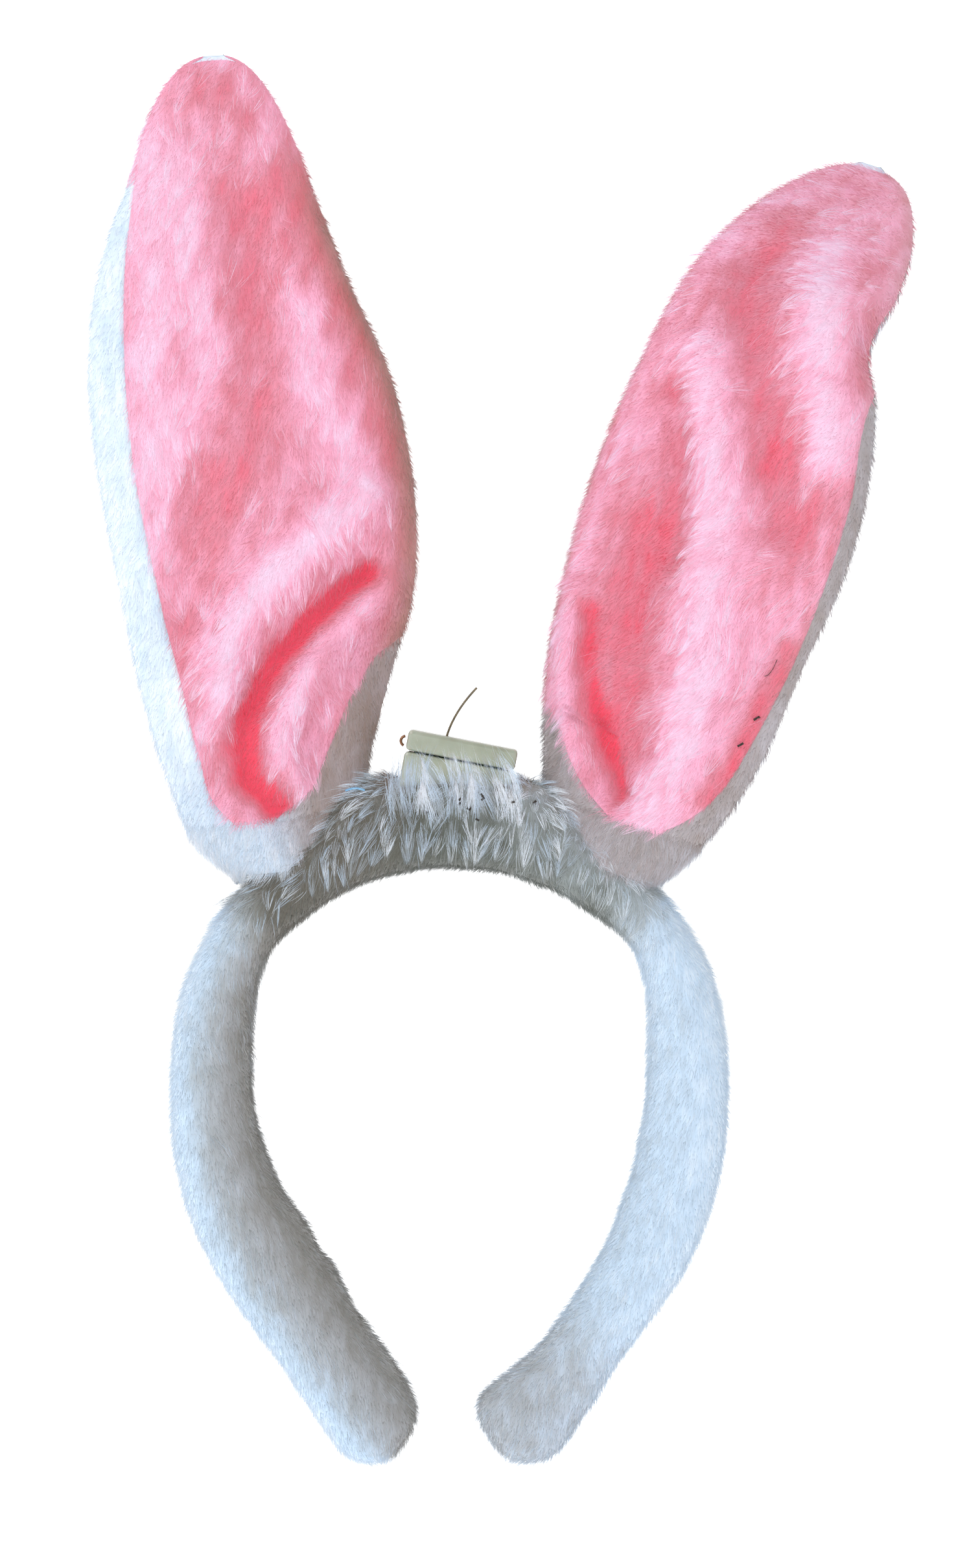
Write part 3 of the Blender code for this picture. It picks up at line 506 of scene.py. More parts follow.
def solid(name, points, material):
    """A closed tube of rings with its two ends drawn to a point."""
    rows, cols = points.shape[:2]
    first, last = points[0].mean(0), points[-1].mean(0)
    verts = np.vstack([points.reshape(-1, 3), first[None], last[None]])
    ring = np.arange(cols)
    low = np.stack([np.full(cols, rows * cols), np.roll(ring, -1), ring], -1)
    top = ring + (rows - 1) * cols
    high = np.stack([np.full(cols, rows * cols + 1), top, np.roll(top, -1)], -1)
    return link_mesh(name, verts, np.vstack([halved(grid_faces(rows, cols, True)), low, high]), material)


def attach(piece, slot, *bodies, nodes=()):
    """Hides the CAD nodes a piece stands for; it rides one body, and with more bodies its place is only baked
    into its mesh. The slot is not used.
    """
    if nodes:
        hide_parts(*nodes)
    (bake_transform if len(bodies) > 1 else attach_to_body)(piece, *bodies)


def cord(name, path, radius, material):
    """A round thread along a path."""
    path = np.asarray(path, float)
    along = unit(np.gradient(path, axis=0))
    side = unit(np.cross(along, np.where(np.abs(along[:, 2:3]) < 0.9, [[0, 0, 1.0]], [[1.0, 0, 0]])))
    other = np.cross(along, side)
    turn = np.linspace(0, 2 * math.pi, 6, endpoint=False)
    c, n = np.cos(turn)[None, :, None], np.sin(turn)[None, :, None]
    return solid(name, path[:, None] + radius * (side[:, None] * c + other[:, None] * n), material)


# ---------------------------------------------------------------- pile


def scatter(points, normals, flat, count, wrap=False):
    """Roots spread evenly over a grid: place, normal and flat coordinates of each."""
    if wrap:
        points, normals, flat = (np.concatenate([g, g[:, :1]], axis=1) for g in (points, normals, flat))
        flat[:, -1, 0] = flat[:, -2, 0] + (flat[:, -2, 0] - flat[:, -3, 0])
    a, b, c, d = points[:-1, :-1], points[:-1, 1:], points[1:, :-1], points[1:, 1:]
    area = np.linalg.norm(np.cross(b - a, c - a), axis=-1) + np.linalg.norm(np.cross(b - d, c - d), axis=-1)
    cell = rng.choice(area.size, count, p=(area / area.sum()).ravel())
    r, k = np.unravel_index(cell, area.shape)
    s, t = rng.random((count, 1)), rng.random((count, 1))

    def at(g):
        low, high = (g[row, k] * (1 - s) + g[row, k + 1] * s for row in (r, r + 1))
        return low * (1 - t) + high * t

    return at(points), unit(at(normals)), at(flat)


def tree_of(points):
    tree = KDTree(len(points))
    for i, point in enumerate(points):
        tree.insert(point, i)
    tree.balance()
    return tree


def density(roots):
    """Strands to a square millimetre, from the typical distance between neighbours."""
    tree, near = tree_of(roots), min(7, len(roots))
    gaps = [tree.find_n(p, near)[-1][2] / MM for p in roots[:: max(1, len(roots) // 300)]]
    return (near - 1) / (math.pi * np.median(gaps) ** 2)


def tufted(middle, clump, gather, s):
    """Draws strands together into tufts; returns each strand's tuft number."""
    count = len(middle)
    roots = middle[:, 0]
    area = max(count / density(roots), 1.0)
    centres = roots[rng.permutation(count)[: int(np.clip(area / clump**2, 1, count))]]
    tree = tree_of(centres)
    nearest = np.array([tree.find(p)[1] for p in roots])
    focus = np.zeros((len(centres), 3))
    np.add.at(focus, nearest, middle[:, -1])
    focus /= np.maximum(np.bincount(nearest, minlength=len(centres)), 1)[:, None]
    pull = focus[nearest] - middle[:, -1]
    pull *= np.minimum(1.0, clump * MM / np.maximum(np.linalg.norm(pull, axis=-1, keepdims=True), 1e-9))
    middle += pull[:, None] * gather * s**1.6
    return nearest


def strands(
    roots, normals, comb, length, shade, lean, width=0.08, steps=1, clump=0.0, gather=0.5, spread=0.16,
    lift=0.0, vary=0.11,
):
    """Closed tapering strands: comb is their lie, lean their angle from the normal, clump the tuft pitch."""
    count = len(roots)
    lie = unit(comb - normals * np.sum(comb * normals, -1, keepdims=True))
    lie = unit(lie + rng.normal(0, spread, (count, 3)))
    tilt = np.radians(lean + rng.normal(0, 7, count))[:, None]
    reach = (length * rng.uniform(0.7, 1.2, count) * MM)[:, None]
    rise, run = normals * np.cos(tilt), lie * np.sin(tilt)
    s = np.linspace(0, 1, steps + 1)[None, :, None]
    middle = roots[:, None] + reach[:, None] * (
        rise[:, None] * (1.35 * s - 0.45 * s * s) + run[:, None] * (0.7 * s + 0.3 * s * s)
    )
    middle -= normals[:, None] * 0.25 * MM * (1 - s)
    tone, warmth = shade
    # The lift lightens strands: a painted highlight.
    tone = tone + lift + rng.normal(0, 0.035, count)
    if clump:
        tuft = tufted(middle, clump, gather, s)
        tone = tone + rng.normal(0, vary, tuft.max() + 1)[tuft]
    direction = unit(middle[:, 1:] - middle[:, :-1])
    direction = np.concatenate([direction[:, :1], direction], axis=1)
    side = unit(np.cross(direction, normals[:, None]))
    other = np.cross(side, direction)
    radius = width * MM * rng.uniform(0.7, 1.2, count)[:, None, None] * (1 - s[:, :-1]) ** 0.5
    corners = [
        middle[:, :-1] + radius * (side[:, :-1] * math.cos(turn) + other[:, :-1] * math.sin(turn))
        for turn in (math.pi / 2, math.pi * 7 / 6, math.pi * 11 / 6)
    ]
    body = np.stack(corners, axis=2).reshape(count, steps * 3, 3)
    verts = np.concatenate([body, middle[:, -1:]], axis=1)
    each = steps * 3 + 1
    last = (steps - 1) * 3
    tip = [(last + j, last + (j + 1) % 3, each - 1) for j in range(3)]
    faces = np.vstack([[(0, 2, 1)], halved(grid_faces(steps, 3, True)), tip])
    faces = faces[None] + (np.arange(count) * each)[:, None, None]
    u = np.concatenate([np.tile([0.0, 0.012, 0.024], steps), [0.012]])
    along = np.concatenate([np.repeat(np.arange(steps) / steps, 3), [1.0]]) * 0.96 + 0.02
    level = np.clip(np.floor(warmth * (WARM_LEVELS - 1) + rng.random(count)), 0, WARM_LEVELS - 1)
    tone = np.clip(tone, 0.02, 0.95)[:, None]
    uv = np.stack([tone + u[None], (level[:, None] + along[None]) / WARM_LEVELS], -1)
    return verts.reshape(-1, 3), faces.reshape(-1, 3), uv.reshape(-1, 2)


def link_pile(name, material, *layers):
    """One pile object from layers of strands."""
    start, faces = 0, []
    for layer in layers:
        faces.append(layer[1] + start)
        start += len(layer[0])
    hair = link_mesh(
        name, np.vstack([l[0] for l in layers]), np.vstack(faces), material, np.vstack([l[2] for l in layers])
    )
    hair.visible_shadow = False
    hair.visible_diffuse = False
    return hair


def thinned(roots, ups, where, chance):
    """Keeps each root with its own chance."""
    keep = rng.random(len(roots)) < chance
    return roots[keep], ups[keep], where[keep]


# ---------------------------------------------------------------- hoop


def hoop_point(s):
    """Centre line, outward normal and heading at a length from the crown's middle, negative to the left."""
    side, left = (1 if s >= 0 else -1), abs(s)
    x, z, heading = 0.0, 0.0, 0.0
    for radius, sweep in ARCS:
        turn = min(left / radius, sweep)
        x += radius * (math.sin(heading + turn) - math.sin(heading))
        z += radius * (math.cos(heading + turn) - math.cos(heading))
        heading += turn
        left -= turn * radius
    x += left * math.cos(heading)
    z -= left * math.sin(heading)
    return np.array([side * x, 0, z + crown_z]), np.array([side * math.sin(heading), 0, math.cos(heading)])


crown_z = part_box("hoop_core_crown")[1].z - CORE_HALF
box_up = np.array(joints["battery_lid_lift"]["axis"], float)
box_axes = np.array([np.cross([0, 1.0, 0], box_up), [0, 1, 0], box_up])
box_foot = np.mean(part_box("battery_box_base"), axis=0) - box_up * BASE_HEIGHT / 2


def sleeve_size(s):
    """Half-widths outwards, inwards and front to back at a length along the hoop, negative to the left."""
    side, s = (-1 if s < 0 else 1), abs(s)
    out = CROWN_HALF_OUT + (SIDE_HALF_OUT - CROWN_HALF_OUT) * float(eased((s - 0.03) / 0.05))
    near_tip = float(eased((s - HOOP_HALF + 0.06) / 0.06))
    out += (TIP_HALF_OUT - SIDE_HALF_OUT) * near_tip + SLEEVE_EXTRA
    swell = TIP_SWELL * float(eased((s - 0.155) / 0.03))
    inner = swell * 1.9 if side < 0 else TIP_SWELL * 2.9 * float(eased((s - 0.166) / 0.028))
    inner += (LEFT_INNER_SWELL if side < 0 else 0) * math.exp(-(((s - 0.148) / 0.026) ** 2))
    inner -= SHOULDER_THINNER["left" if side < 0 else "right"] * math.exp(-(((s - 0.057) / 0.018) ** 2))
    inner += SIDE_SWELL * math.exp(-(((s - 0.112) / 0.024) ** 2)) - 0.0012 * float(eased((0.045 - s) / 0.02))
    deep = HALF_DEEP + (TIP_HALF_DEEP - HALF_DEEP) * near_tip + SLEEVE_EXTRA * 0.5
    outer = out + swell * 0.5 + SIDE_SWELL * math.exp(-(((s - 0.118) / 0.024) ** 2))
    return outer, out + inner, deep + swell * 0.4


def mound(s):
    """How far the stuffed crown stands up round the battery box."""
    return MOUND * math.exp(-((abs(s) / 0.027) ** 6))


def clear_of_box(points):
    """Presses the cover down under the battery box wherever the box stands."""
    local = (points - box_foot) @ box_axes.T
    under = (np.abs(local[..., 0]) < BOX_HALF_LONG) & (np.abs(local[..., 1]) < BOX_HALF_DEEP)
    local[..., 2] = np.where(under, np.minimum(local[..., 2], -BOX_SINK), local[..., 2])
    return local @ box_axes + box_foot


def hoop_grid(lengths, cols, inset=0.0, relief=None):
    """Rings round the hoop; their flat coordinates are the turn and the length along it in millimetres."""
    rings, flat = [], []
    turn = np.linspace(0, 2 * math.pi, cols, endpoint=False)
    c, n = np.cos(turn), np.sin(turn)
    end = HOOP_HALF + TIP_LONGER
    for s in lengths:
        centre, outward = hoop_point(s)
        out, inner, deep = sleeve_size(s)
        cap = math.sqrt(max(0.02, 1 - max(0.0, (abs(s) - end + 0.011) / 0.011) ** 2))
        out, inner, deep = out * cap - inset, inner * cap - inset, deep * cap - inset
        rise = np.sign(n) * np.abs(n) ** (2 / OVAL_POWER) * np.where(n > 0, out, inner)
        depth = deep * np.sign(c) * np.abs(c) ** (2 / OVAL_POWER)
        bulge = 1 + (relief(turn, s / MM) if relief else 0)
        up = 0.0 if inset else mound(s) * np.clip(n, 0, 1) ** 0.7
        ring = centre + outward * (rise * bulge + up)[:, None]
        ring[:, 1] += depth * bulge
        rings.append(ring)
        flat.append(np.stack([turn, np.full(cols, s / MM)], -1))
    rings, flat = np.array(rings), np.array(flat)
    normals = grid_normals(rings, True)
    return rings, normals, flat


def sleeve_relief(turn, s):
    """Soft hollows and small puckers of the stuffed sleeve."""
    return 0.02 * ripple(turn * 11, s, 26, 5) + 0.012 * ripple(turn * 11, s, 9, 6)


def foam_relief(turn, s):
    """Overlapping turns of a strip wound round the hoop."""
    return 0.07 * (((s / 14 + turn / (2 * math.pi)) % 1.0) - 0.5)


def lengths_between(start, end, pitch):
    return np.linspace(start, end, max(2, int(round(abs(end - start) / pitch)) + 1))


FINE = 0.0022
PILE_SHARE = 1.0


def shade_of_band(flat, roots):
    """White pile's tone and painted warm shade: painted light on the arms, painted shade under the crown, on
    its front and inside the left arm, and painted warm shade beside the box's ends; the ripples are random
    tone.
    """
    x, z = roots[:, 0] / MM, roots[:, 2] / MM
    along = np.abs(flat[:, 1])
    outer, front = np.sin(flat[:, 0]), -np.cos(flat[:, 0])
    arm, tip, left = eased((along - 42) / 18), eased((along - 145) / 35), x < 0
    # Painted light and shade: each arm lighter on its outer side, the left arm darker inside, the right arm
    # darker at its tip, the crown dark, darker underneath and to the left, and the front darker than the
    # back.
    tone_arm = np.where(left, 0.48 + 0.30 * outer + 0.04 * tip, 0.70 + 0.05 * outer - 0.16 * tip)
    tone_crown = 0.02 + 0.12 * outer + 0.22 * np.clip(x / 35, -0.5, 1)
    tone = tone_crown * (1 - arm) + tone_arm * arm + 0.3 * np.clip(-front, 0, 1)
    tone += (0.02 + 0.04 * (1 - arm)) * (ripple(x, z, 14, 21) + ripple(x, z, 5, 22))
    # Painted warm shade beside the box's ends.
    painted_shade_beside_box = np.exp(-(((np.abs(x - 2) - 15) / 3.5) ** 2)) * eased((z - 17) / 4)
    # Painted warm shade on the crown's left, inside the left arm and at the right arm's tip.
    warmth = 0.25 * (1 - arm) * eased(-x / 25) + np.where(left, 0.3 * arm * eased(0.5 - outer), 0.2 * tip)
    warmth += 0.7 * painted_shade_beside_box
    return tone - 0.12 * painted_shade_beside_box, warmth


def comb_of_band(roots, swirl=0.35):
    x, z = roots[:, 0] / MM, roots[:, 2] / MM
    lie = np.zeros_like(roots)
    lie[:, 2] = -1.0
    lie[:, 0] = np.where(x < 0, 0.25, -0.35) * eased(-z / 60) - 0.2 * eased((z + 30) / 30)
    lie[:, 0] += swirl * ripple(x, z, 16, 23)
    lie[:, 1] = -0.15
    return lie


def band_pile(name, points, normals, flat, counts, shade, fuzz):
    """A band cover's pile: a dense short coat with longer tufts where fuzz asks for them."""
    under, over = counts
    roots, ups, where = scatter(points, normals, flat, int(under * PILE_SHARE), True)
    keep = ~inside_box(roots)
    roots, ups, where = roots[keep], ups[keep], where[keep]
    coat = strands(roots, ups, comb_of_band(roots, 0.15), 2.9, shade(where, roots), lean=64)
    roots, ups, where = scatter(points, normals, flat, int(over * PILE_SHARE), True)
    roots, ups, where = thinned(roots, ups, where, np.where(inside_box(roots), 0, fuzz(where)))
    # The tufts' lift is a painted highlight.
    tufts = strands(
        roots, ups, comb_of_band(roots), 5.2, shade(where, roots), lean=70, width=0.055, steps=2, clump=3.0,
        lift=0.14, vary=0.06,
    )
    return link_pile(name, WHITE_PILE, coat, tufts)


def grid_shade(points, flat, shade):
    return shade(flat.reshape(-1, flat.shape[-1]), points.reshape(-1, 3))


def inside_box(roots):
    """Roots under the box or in it, where no pile can stand."""
    x, y, z = ((roots - box_foot) @ box_axes.T).T
    return (np.abs(x) < BOX_HALF_LONG + 0.0004) & (np.abs(y) < BOX_HALF_DEEP + 0.0005) & (z > -0.006)


def dress_band(name, foam_name, points, normals, flat, lengths, nodes, bodies, counts, fuzz):
    """A stretch of the band: its cover, the cover's pile and the foam inside, attached alike."""
    # The cover carries the same painted light and shade as its pile.
    shades = grid_shade(points, flat, shade_of_band)
    cover = shell(name, points, normals, SLEEVE_WALL, WHITE_CLOTH, True, shades)
    attach(cover, "white_plush", *bodies, nodes=nodes[:1])
    hair = band_pile(f"{name}_pile", points, normals, flat, counts, shade_of_band, fuzz)
    attach(hair, "white_plush", *bodies)
    rings, outward, _ = hoop_grid(lengths, 40, inset=FOAM_INSET, relief=foam_relief)
    foam = shell(foam_name, rings, outward, FOAM_WALL, FOAM, True)
    attach(foam, "foam", *bodies, nodes=nodes[1:])


def build_sleeves():
    middle = 0.018
    crown = np.concatenate([
        lengths_between(-CROWN_PIECE_END, -middle, FINE), lengths_between(-middle, middle, FINE * 0.45)[1:-1],
        lengths_between(middle, CROWN_PIECE_END, FINE),
    ])
    points, _, flat = hoop_grid(crown, 64, relief=sleeve_relief)
    points = clear_of_box(points)
    normals = grid_normals(points, True)
    nodes = "plush_sleeve_crown", "foam_wrap_crown"
    grids = points, normals, flat
    dress_band("sleeve_crown", "foam_crown", *grids, crown, nodes, ["crown"], CROWN_COUNTS, crown_fuzz)
    build_crown_wisps(points, normals, flat)
    for side in SIDES:
        sign = SIGN[side]
        arm = lengths_between(CROWN_PIECE_END, HOOP_HALF + TIP_LONGER - 0.0002, FINE)
        arm = np.append(CROWN_PIECE_END - 0.0015, arm)[::sign] * sign
        points, normals, flat = hoop_grid(arm, 44, relief=sleeve_relief)
        points = tucked(points, normals, slice(0, 1) if sign > 0 else slice(-1, None))
        bend = [Vector(hoop_point(sign * s)[0]) for s in (FLEX_FROM, FLEX_TO)]
        nodes = f"{side}_plush_sleeve", f"{side}_foam_wrap"
        bodies = "crown", f"{side}_arm", *bend
        grids = points, normals, flat
        dress_band(f"{side}_sleeve", f"{side}_foam", *grids, arm, nodes, bodies, ARM_COUNTS, arm_fuzz)


def arm_fuzz(where):
    """Tufts stand on the shoulders and along the sleeve's front seam; the rest is smooth."""
    along = np.abs(where[:, 1])
    seam = np.exp(-(((where[:, 0] - math.pi) / 0.35) ** 2)) * eased((along - 105) / 30)
    return np.clip(0.25 + 0.7 * eased((95 - along) / 25) + 0.7 * seam, 0, 1)


def crown_fuzz(where):
    """The crown is shaggy but for its underside."""
    return 0.9 * eased((np.sin(where[:, 0]) + 0.35) / 0.3)


def build_crown_wisps(points, normals, flat):
    """Long silky wisps: they stand up over the box's face and hang over the crown's front."""
    roots, ups, where = scatter(points, normals, flat, int(WISP_COUNT * PILE_SHARE), True)
    x, y = roots[:, 0] / MM, roots[:, 1] / MM
    clear = ~inside_box(roots) & (y < 2)
    rising = clear & (ups[:, 2] > 0.1) & (y < -5.5) & (np.abs(x - 2) < 16) & (rng.random(len(roots)) < 0.65)
    chance = 0.40 * np.exp(-((x / 46) ** 4))
    hanging = clear & ~rising & (ups[:, 1] < 0.1) & (ups[:, 2] > -0.15) & (rng.random(len(roots)) < chance)
    for name, chosen, way, size, lean, base in (
        ("box_wisps", rising, 1.0, 12.5, 50, 0.74), ("crown_wisps", hanging, -1.0, 8.0, 62, 0.78),
    ):
        across, deep = x[chosen], y[chosen]
        comb = np.zeros((len(across), 3))
        comb[:, 2] = way
        comb[:, 0] = -0.3 + 0.5 * ripple(across, deep, 12, 31)
        # Darker to the left: painted shade; the ripple is random tone.
        tone = base + 0.14 * np.clip(across / 30, -1, 0.6) + 0.14 * ripple(across, deep, 8, 32)
        length = size * rng.uniform(0.5, 1.12, len(across))
        layer = strands(
            roots[chosen], ups[chosen], comb, length, (tone, 0 * tone), lean=lean, width=0.055, steps=4,
            clump=3.0, gather=0.9, vary=0.16,
        )
        attach(link_pile(name, WHITE_PILE, layer), "white_plush", "crown")


# ---------------------------------------------------------------- ears


def ear_place(side):
    splay, tilt = joints[f"{side}_ear_splay"], joints[f"{side}_ear_tilt"]
    origin = np.array(splay["pos_m"], float)
    x = unit(np.array(tilt["axis"], float))
    z = unit(np.array(tilt["pos_m"], float) - origin)
    return origin, np.stack([x, np.cross(z, x), z])


def edges(ear, h):
    """Lowest and highest x of the cover's outline at a height, closing in a round tip."""
    close = np.clip((ear["top"] - h) / (ear["top"] - TIP_FROM), 0, 1) ** 0.425
    tip = ear["tip_x"]
    sides = (curve(ear[edge], np.minimum(h, TIP_FROM)) for edge in ("low_x", "high_x"))
    return tuple(np.where(h > TIP_FROM, tip + (side - tip) * close, side) for side in sides)


def thickness(ear, h):
    """Half the stuffed ear's thickness at a height."""
    knots = (-9, 12.6), (3, 11.5), (20, 9.5), (45, 8.2), (90, 7.8), (130, 6.8), (165, 5.0)
    close = np.clip((ear["top"] - h) / (ear["top"] - 160), 0.004, 1)
    return curve(knots, np.minimum(h, 165)) * np.sqrt(close)


def plain_ear(ear, h, phi):
    """The cover before folds: phi 0 is the high-x edge, 90 degrees the middle of the back."""
    low, high = edges(ear, h)
    middle, half = (low + high) / 2, (high - low) / 2
    side = np.sin(phi)
    deep = thickness(ear, h) * np.sign(side) * np.abs(side) ** 0.85
    return np.stack([middle + half * np.cos(phi), deep, h + 0 * phi], -1)


def distance_to(path, x, h):
    best = np.full(np.shape(x), 1e9)
    for (x0, h0), (x1, h1) in zip(path[:-1], path[1:]):
        dx, dh = x1 - x0, h1 - h0
        t = np.clip(((x - x0) * dx + (h - h0) * dh) / (dx * dx + dh * dh), 0, 1)
        best = np.minimum(best, np.hypot(x - x0 - t * dx, h - h0 - t * dh))
    return best


def fold_depth(ear, x, h):
    depth = np.zeros(np.shape(x))
    for path, deep, wide in ear["folds"]:
        depth += deep * np.exp(-((distance_to(path, x, h) / wide) ** 2))
    return depth


def inflate(ear):
    """Cloth simulation of the stuffed cover: each point's motion on a coarse grid, in millimetres."""
    heights = np.concatenate([np.linspace(COVER_BOTTOM, 160, 36), [165, 169.5, 173.5, 177, 180, 182.5]])
    turn = np.linspace(0, 2 * math.pi, 36, endpoint=False)
    h, phi = np.meshgrid(heights, turn, indexing="ij")
    start = plain_ear(ear, h, phi)
    start[..., 1] *= FLATTER
    bag = solid("bag", start * MM, FILL)
    group = bag.vertex_groups.new(name="held")
    fixed = np.nonzero(h.ravel() < 8)[0].tolist() + [h.size]
    group.add(fixed, 1.0, "REPLACE")
    cloth = bag.modifiers.new("cloth", "CLOTH")
    for key, value in CLOTH_SETTINGS.items():
        setattr(cloth.settings, key, value)
    cloth.settings.effector_weights.gravity = 0
    cloth.collision_settings.use_collision = False
    for step in range(1, CLOTH_FRAMES + 1):
        bpy.context.scene.frame_set(step)
    points = bag.evaluated_get(bpy.context.evaluated_depsgraph_get()).data.vertices
    moved = np.zeros(len(points) * 3, np.float32)
    points.foreach_get("co", moved)
    moved = moved.reshape(-1, 3)[: h.size].reshape(start.shape) / MM
    bpy.context.scene.frame_set(1)
    mesh = bag.data
    bpy.data.objects.remove(bag)
    bpy.data.meshes.remove(mesh)
    motion = moved - start
    size = np.linalg.norm(motion, axis=-1, keepdims=True)
    motion *= np.minimum(1, MOTION_CAP / np.maximum(size, 1e-9))
    motion[..., 1] -= (1 - FLATTER) * start[..., 1] / FLATTER
    return heights, motion


def sample(heights, grid, h, phi):
    """Smooth reading of a coarse periodic grid at heights and angles."""
    rows, cols = grid.shape[:2]
    r = np.interp(h, heights, np.arange(rows))
    c = (phi / (2 * math.pi) * cols) % cols
    r0, c0 = np.floor(r).astype(int), np.floor(c).astype(int)
    fr, fc = (r - r0)[..., None], (c - c0)[..., None]

    def weights(f):
        return (
            (-f + 2 * f * f - f**3) / 2, (2 - 5 * f * f + 3 * f**3) / 2,
            (f + 4 * f * f - 3 * f**3) / 2, (-f * f + f**3) / 2,
        )

    total = 0
    for i, wr in enumerate(weights(fr)):
        row = np.clip(r0 + i - 1, 0, rows - 1)
        for j, wc in enumerate(weights(fc)):
            total = total + wr * wc * grid[row, (c0 + j - 1) % cols]
    return total


def ear_surface(ear, h, phi):
    """The finished cover in the ear's frame, in millimetres, before the tip's bend."""
    points = plain_ear(ear, h, phi)
    points = points + sample(ear["heights"], ear["motion"], h, phi)
    front = eased(-np.sin(phi) / 0.5)
    low, high = edges(ear, h)
    inside = eased((points[..., 0] - low + 1) / 5) * eased((high + 1 - points[..., 0]) / 5)
    depth = fold_depth(ear, points[..., 0], h)
    opposite = plain_ear(ear, h, -phi)[..., 1]
    folded = points[..., 1] + depth * front * np.where(depth > 0, np.minimum(inside + 0.25, 1), inside)
    held = np.minimum(folded, np.maximum(points[..., 1], opposite - 3.5))
    points[..., 1] = np.where(front > 0, held, points[..., 1])
    return points


def bent(ear, points):
    """Bends the tip backwards over a smooth stretch of the ear."""
    if not ear["bend"]:
        return points
    steps = np.linspace(BEND_FROM, BEND_TO, 101)
    angle = -ear["bend"] * eased((steps - BEND_FROM) / (BEND_TO - BEND_FROM))
    pace = steps[1] - steps[0]
    up = BEND_FROM + np.concatenate([[0], np.cumsum(np.cos((angle[1:] + angle[:-1]) / 2) * pace)])
    back = np.concatenate([[0], np.cumsum(np.sin((angle[1:] + angle[:-1]) / 2) * pace)])
    h, y = points[..., 2], points[..., 1]
    a = np.interp(h, steps, angle)
    beyond = np.maximum(h - BEND_TO, 0)
    before = np.minimum(h - BEND_FROM, 0)
    z = np.interp(h, steps, up) + beyond * np.cos(angle[-1]) + before
    b = np.interp(h, steps, back) + beyond * np.sin(angle[-1])
    return np.stack([points[..., 0], b + y * np.cos(a), z - y * np.sin(a)], -1)


def to_world(ear, points):
    return ear["origin"] + (points * MM) @ ear["axes"]


def panel_grid(ear, heights, shares, pink):
    """A panel's grid: pink from seam to seam across the front, white from seam to seam round the back."""
    h = np.repeat(heights[:, None], len(shares), 1)
    low, high = edges(ear, heights)
    middle, half = (low + high) / 2, np.maximum((high - low) / 2, 0.01)
    seam_low = np.maximum(curve(ear["seam_low"], np.clip(heights, 3, ear["seam_low"][-1][0])), low)
    seam_high = np.minimum(curve(ear["seam_high"], np.clip(heights, 3, ear["seam_high"][-1][0])), high)
    first = 2 * math.pi - np.arccos(np.clip((seam_low - middle) / half, -1, 1))
    second = 2 * math.pi - np.arccos(np.clip((seam_high - middle) / half, -1, 1))
    if pink:
        phi = first[:, None] + (second - first)[:, None] * shares
    else:
        phi = second[:, None] + (first + 2 * math.pi - second)[:, None] * shares
    local = ear_surface(ear, h, phi)
    local[-1] = inside_ear(ear, h[-1], phi[-1], 1.0)[0]
    world = to_world(ear, bent(ear, local))
    return world, np.stack([local[..., 0], local[..., 2], -np.sin(phi)], -1)


def shade_of_pink(side, flat):
    """Pink pile's tone and painted warm shade: painted shade in the creases, painted highlight on the ridges,
    painted warm shade along the edges; the mottle is random tone.
    """
    x, h = flat[:, 0], flat[:, 1]
    ear = EARS[side]
    sign = SIGN[side]
    mottle = 0.05 * ripple(x, h * 0.6, 16, 41 + sign) + 0.06 * ripple(x, h * 0.5, 5, 43 + sign)
    tone = 0.48 + 0.01 * sign + mottle
    # The paths paint shade in the creases and highlight on the ridges.
    for path, step, wide in ear["shades"]:
        tone += step * np.exp(-((distance_to(path, x, h) / wide) ** 2))
    low, high = edges(ear, h)
    # Painted warm shade along the cover's edges.
    if side == "left":
        painted_edge_shade = np.exp(-(((high - x) / 6) ** 2)) * eased((172 - h) / 30)
        return tone - 0.20 * painted_edge_shade, 0.95 * painted_edge_shade
    painted_edge_shade = np.exp(-(((x - low) / 1.5) ** 2)) + 0.6 * np.exp(-(((high - x) / 3) ** 2))
    return tone - 0.05 * painted_edge_shade, 0.7 * painted_edge_shade


def pink_fuzz(side, flat):
    """Where the pink pile stands up in tufts: on the pale ridges, hardly in the dark hollows."""
    tone, warmth = shade_of_pink(side, flat)
    return np.clip(2.0 * (tone - 0.32) - warmth, 0.03, 1)


def shade_of_white(side, flat):
    """White margins and back: on the margins facing forward, painted light outside the left ear and painted
    shade near its foot, painted warm shade inside it and round the right ear; the back is an even tone with
    random ripples.
    """
    x, h, front = flat[:, 0], flat[:, 1], flat[:, 2]
    low, high = edges(EARS[side], h)
    across = np.clip((x - low) / np.maximum(high - low, 1), 0, 1)
    facing = eased((front + 0.5) / 0.4)
    # Painted light and shade on the front margins: light outside the left ear and darker near its foot, warm
    # shade inside it, shade round the right ear.
    if side == "left":
        inner = eased((across - 0.35) / 0.4)
        margin = (0.86 - 0.12 * eased((30 - h) / 25)) * (1 - inner) + 0.36 * inner
        warmth = 0.15 * eased((40 - h) / 30) * (1 - inner) + 0.9 * inner
    else:
        margin = 0.46 + 0.14 * eased((h - 150) / 20) + 0 * x
        warmth = 0.75 + 0 * x
    tone = 0.82 + (margin - 0.82) * facing + 0.04 * ripple(x, h, 16, 51) + 0.03 * ripple(x, h, 5, 52)
    return tone, warmth * facing


def comb_of_ear(ear, flat, seed, cross=-0.45, swirl=0.5):
    x, h = flat[:, 0], flat[:, 1]
    local = np.zeros((len(flat), 3))
    local[:, 2] = -1.0
    local[:, 0] = cross + swirl * (ripple(x, h, 26, seed) + 0.5 * ripple(x, h, 8, seed + 1))
    return local @ ear["axes"]


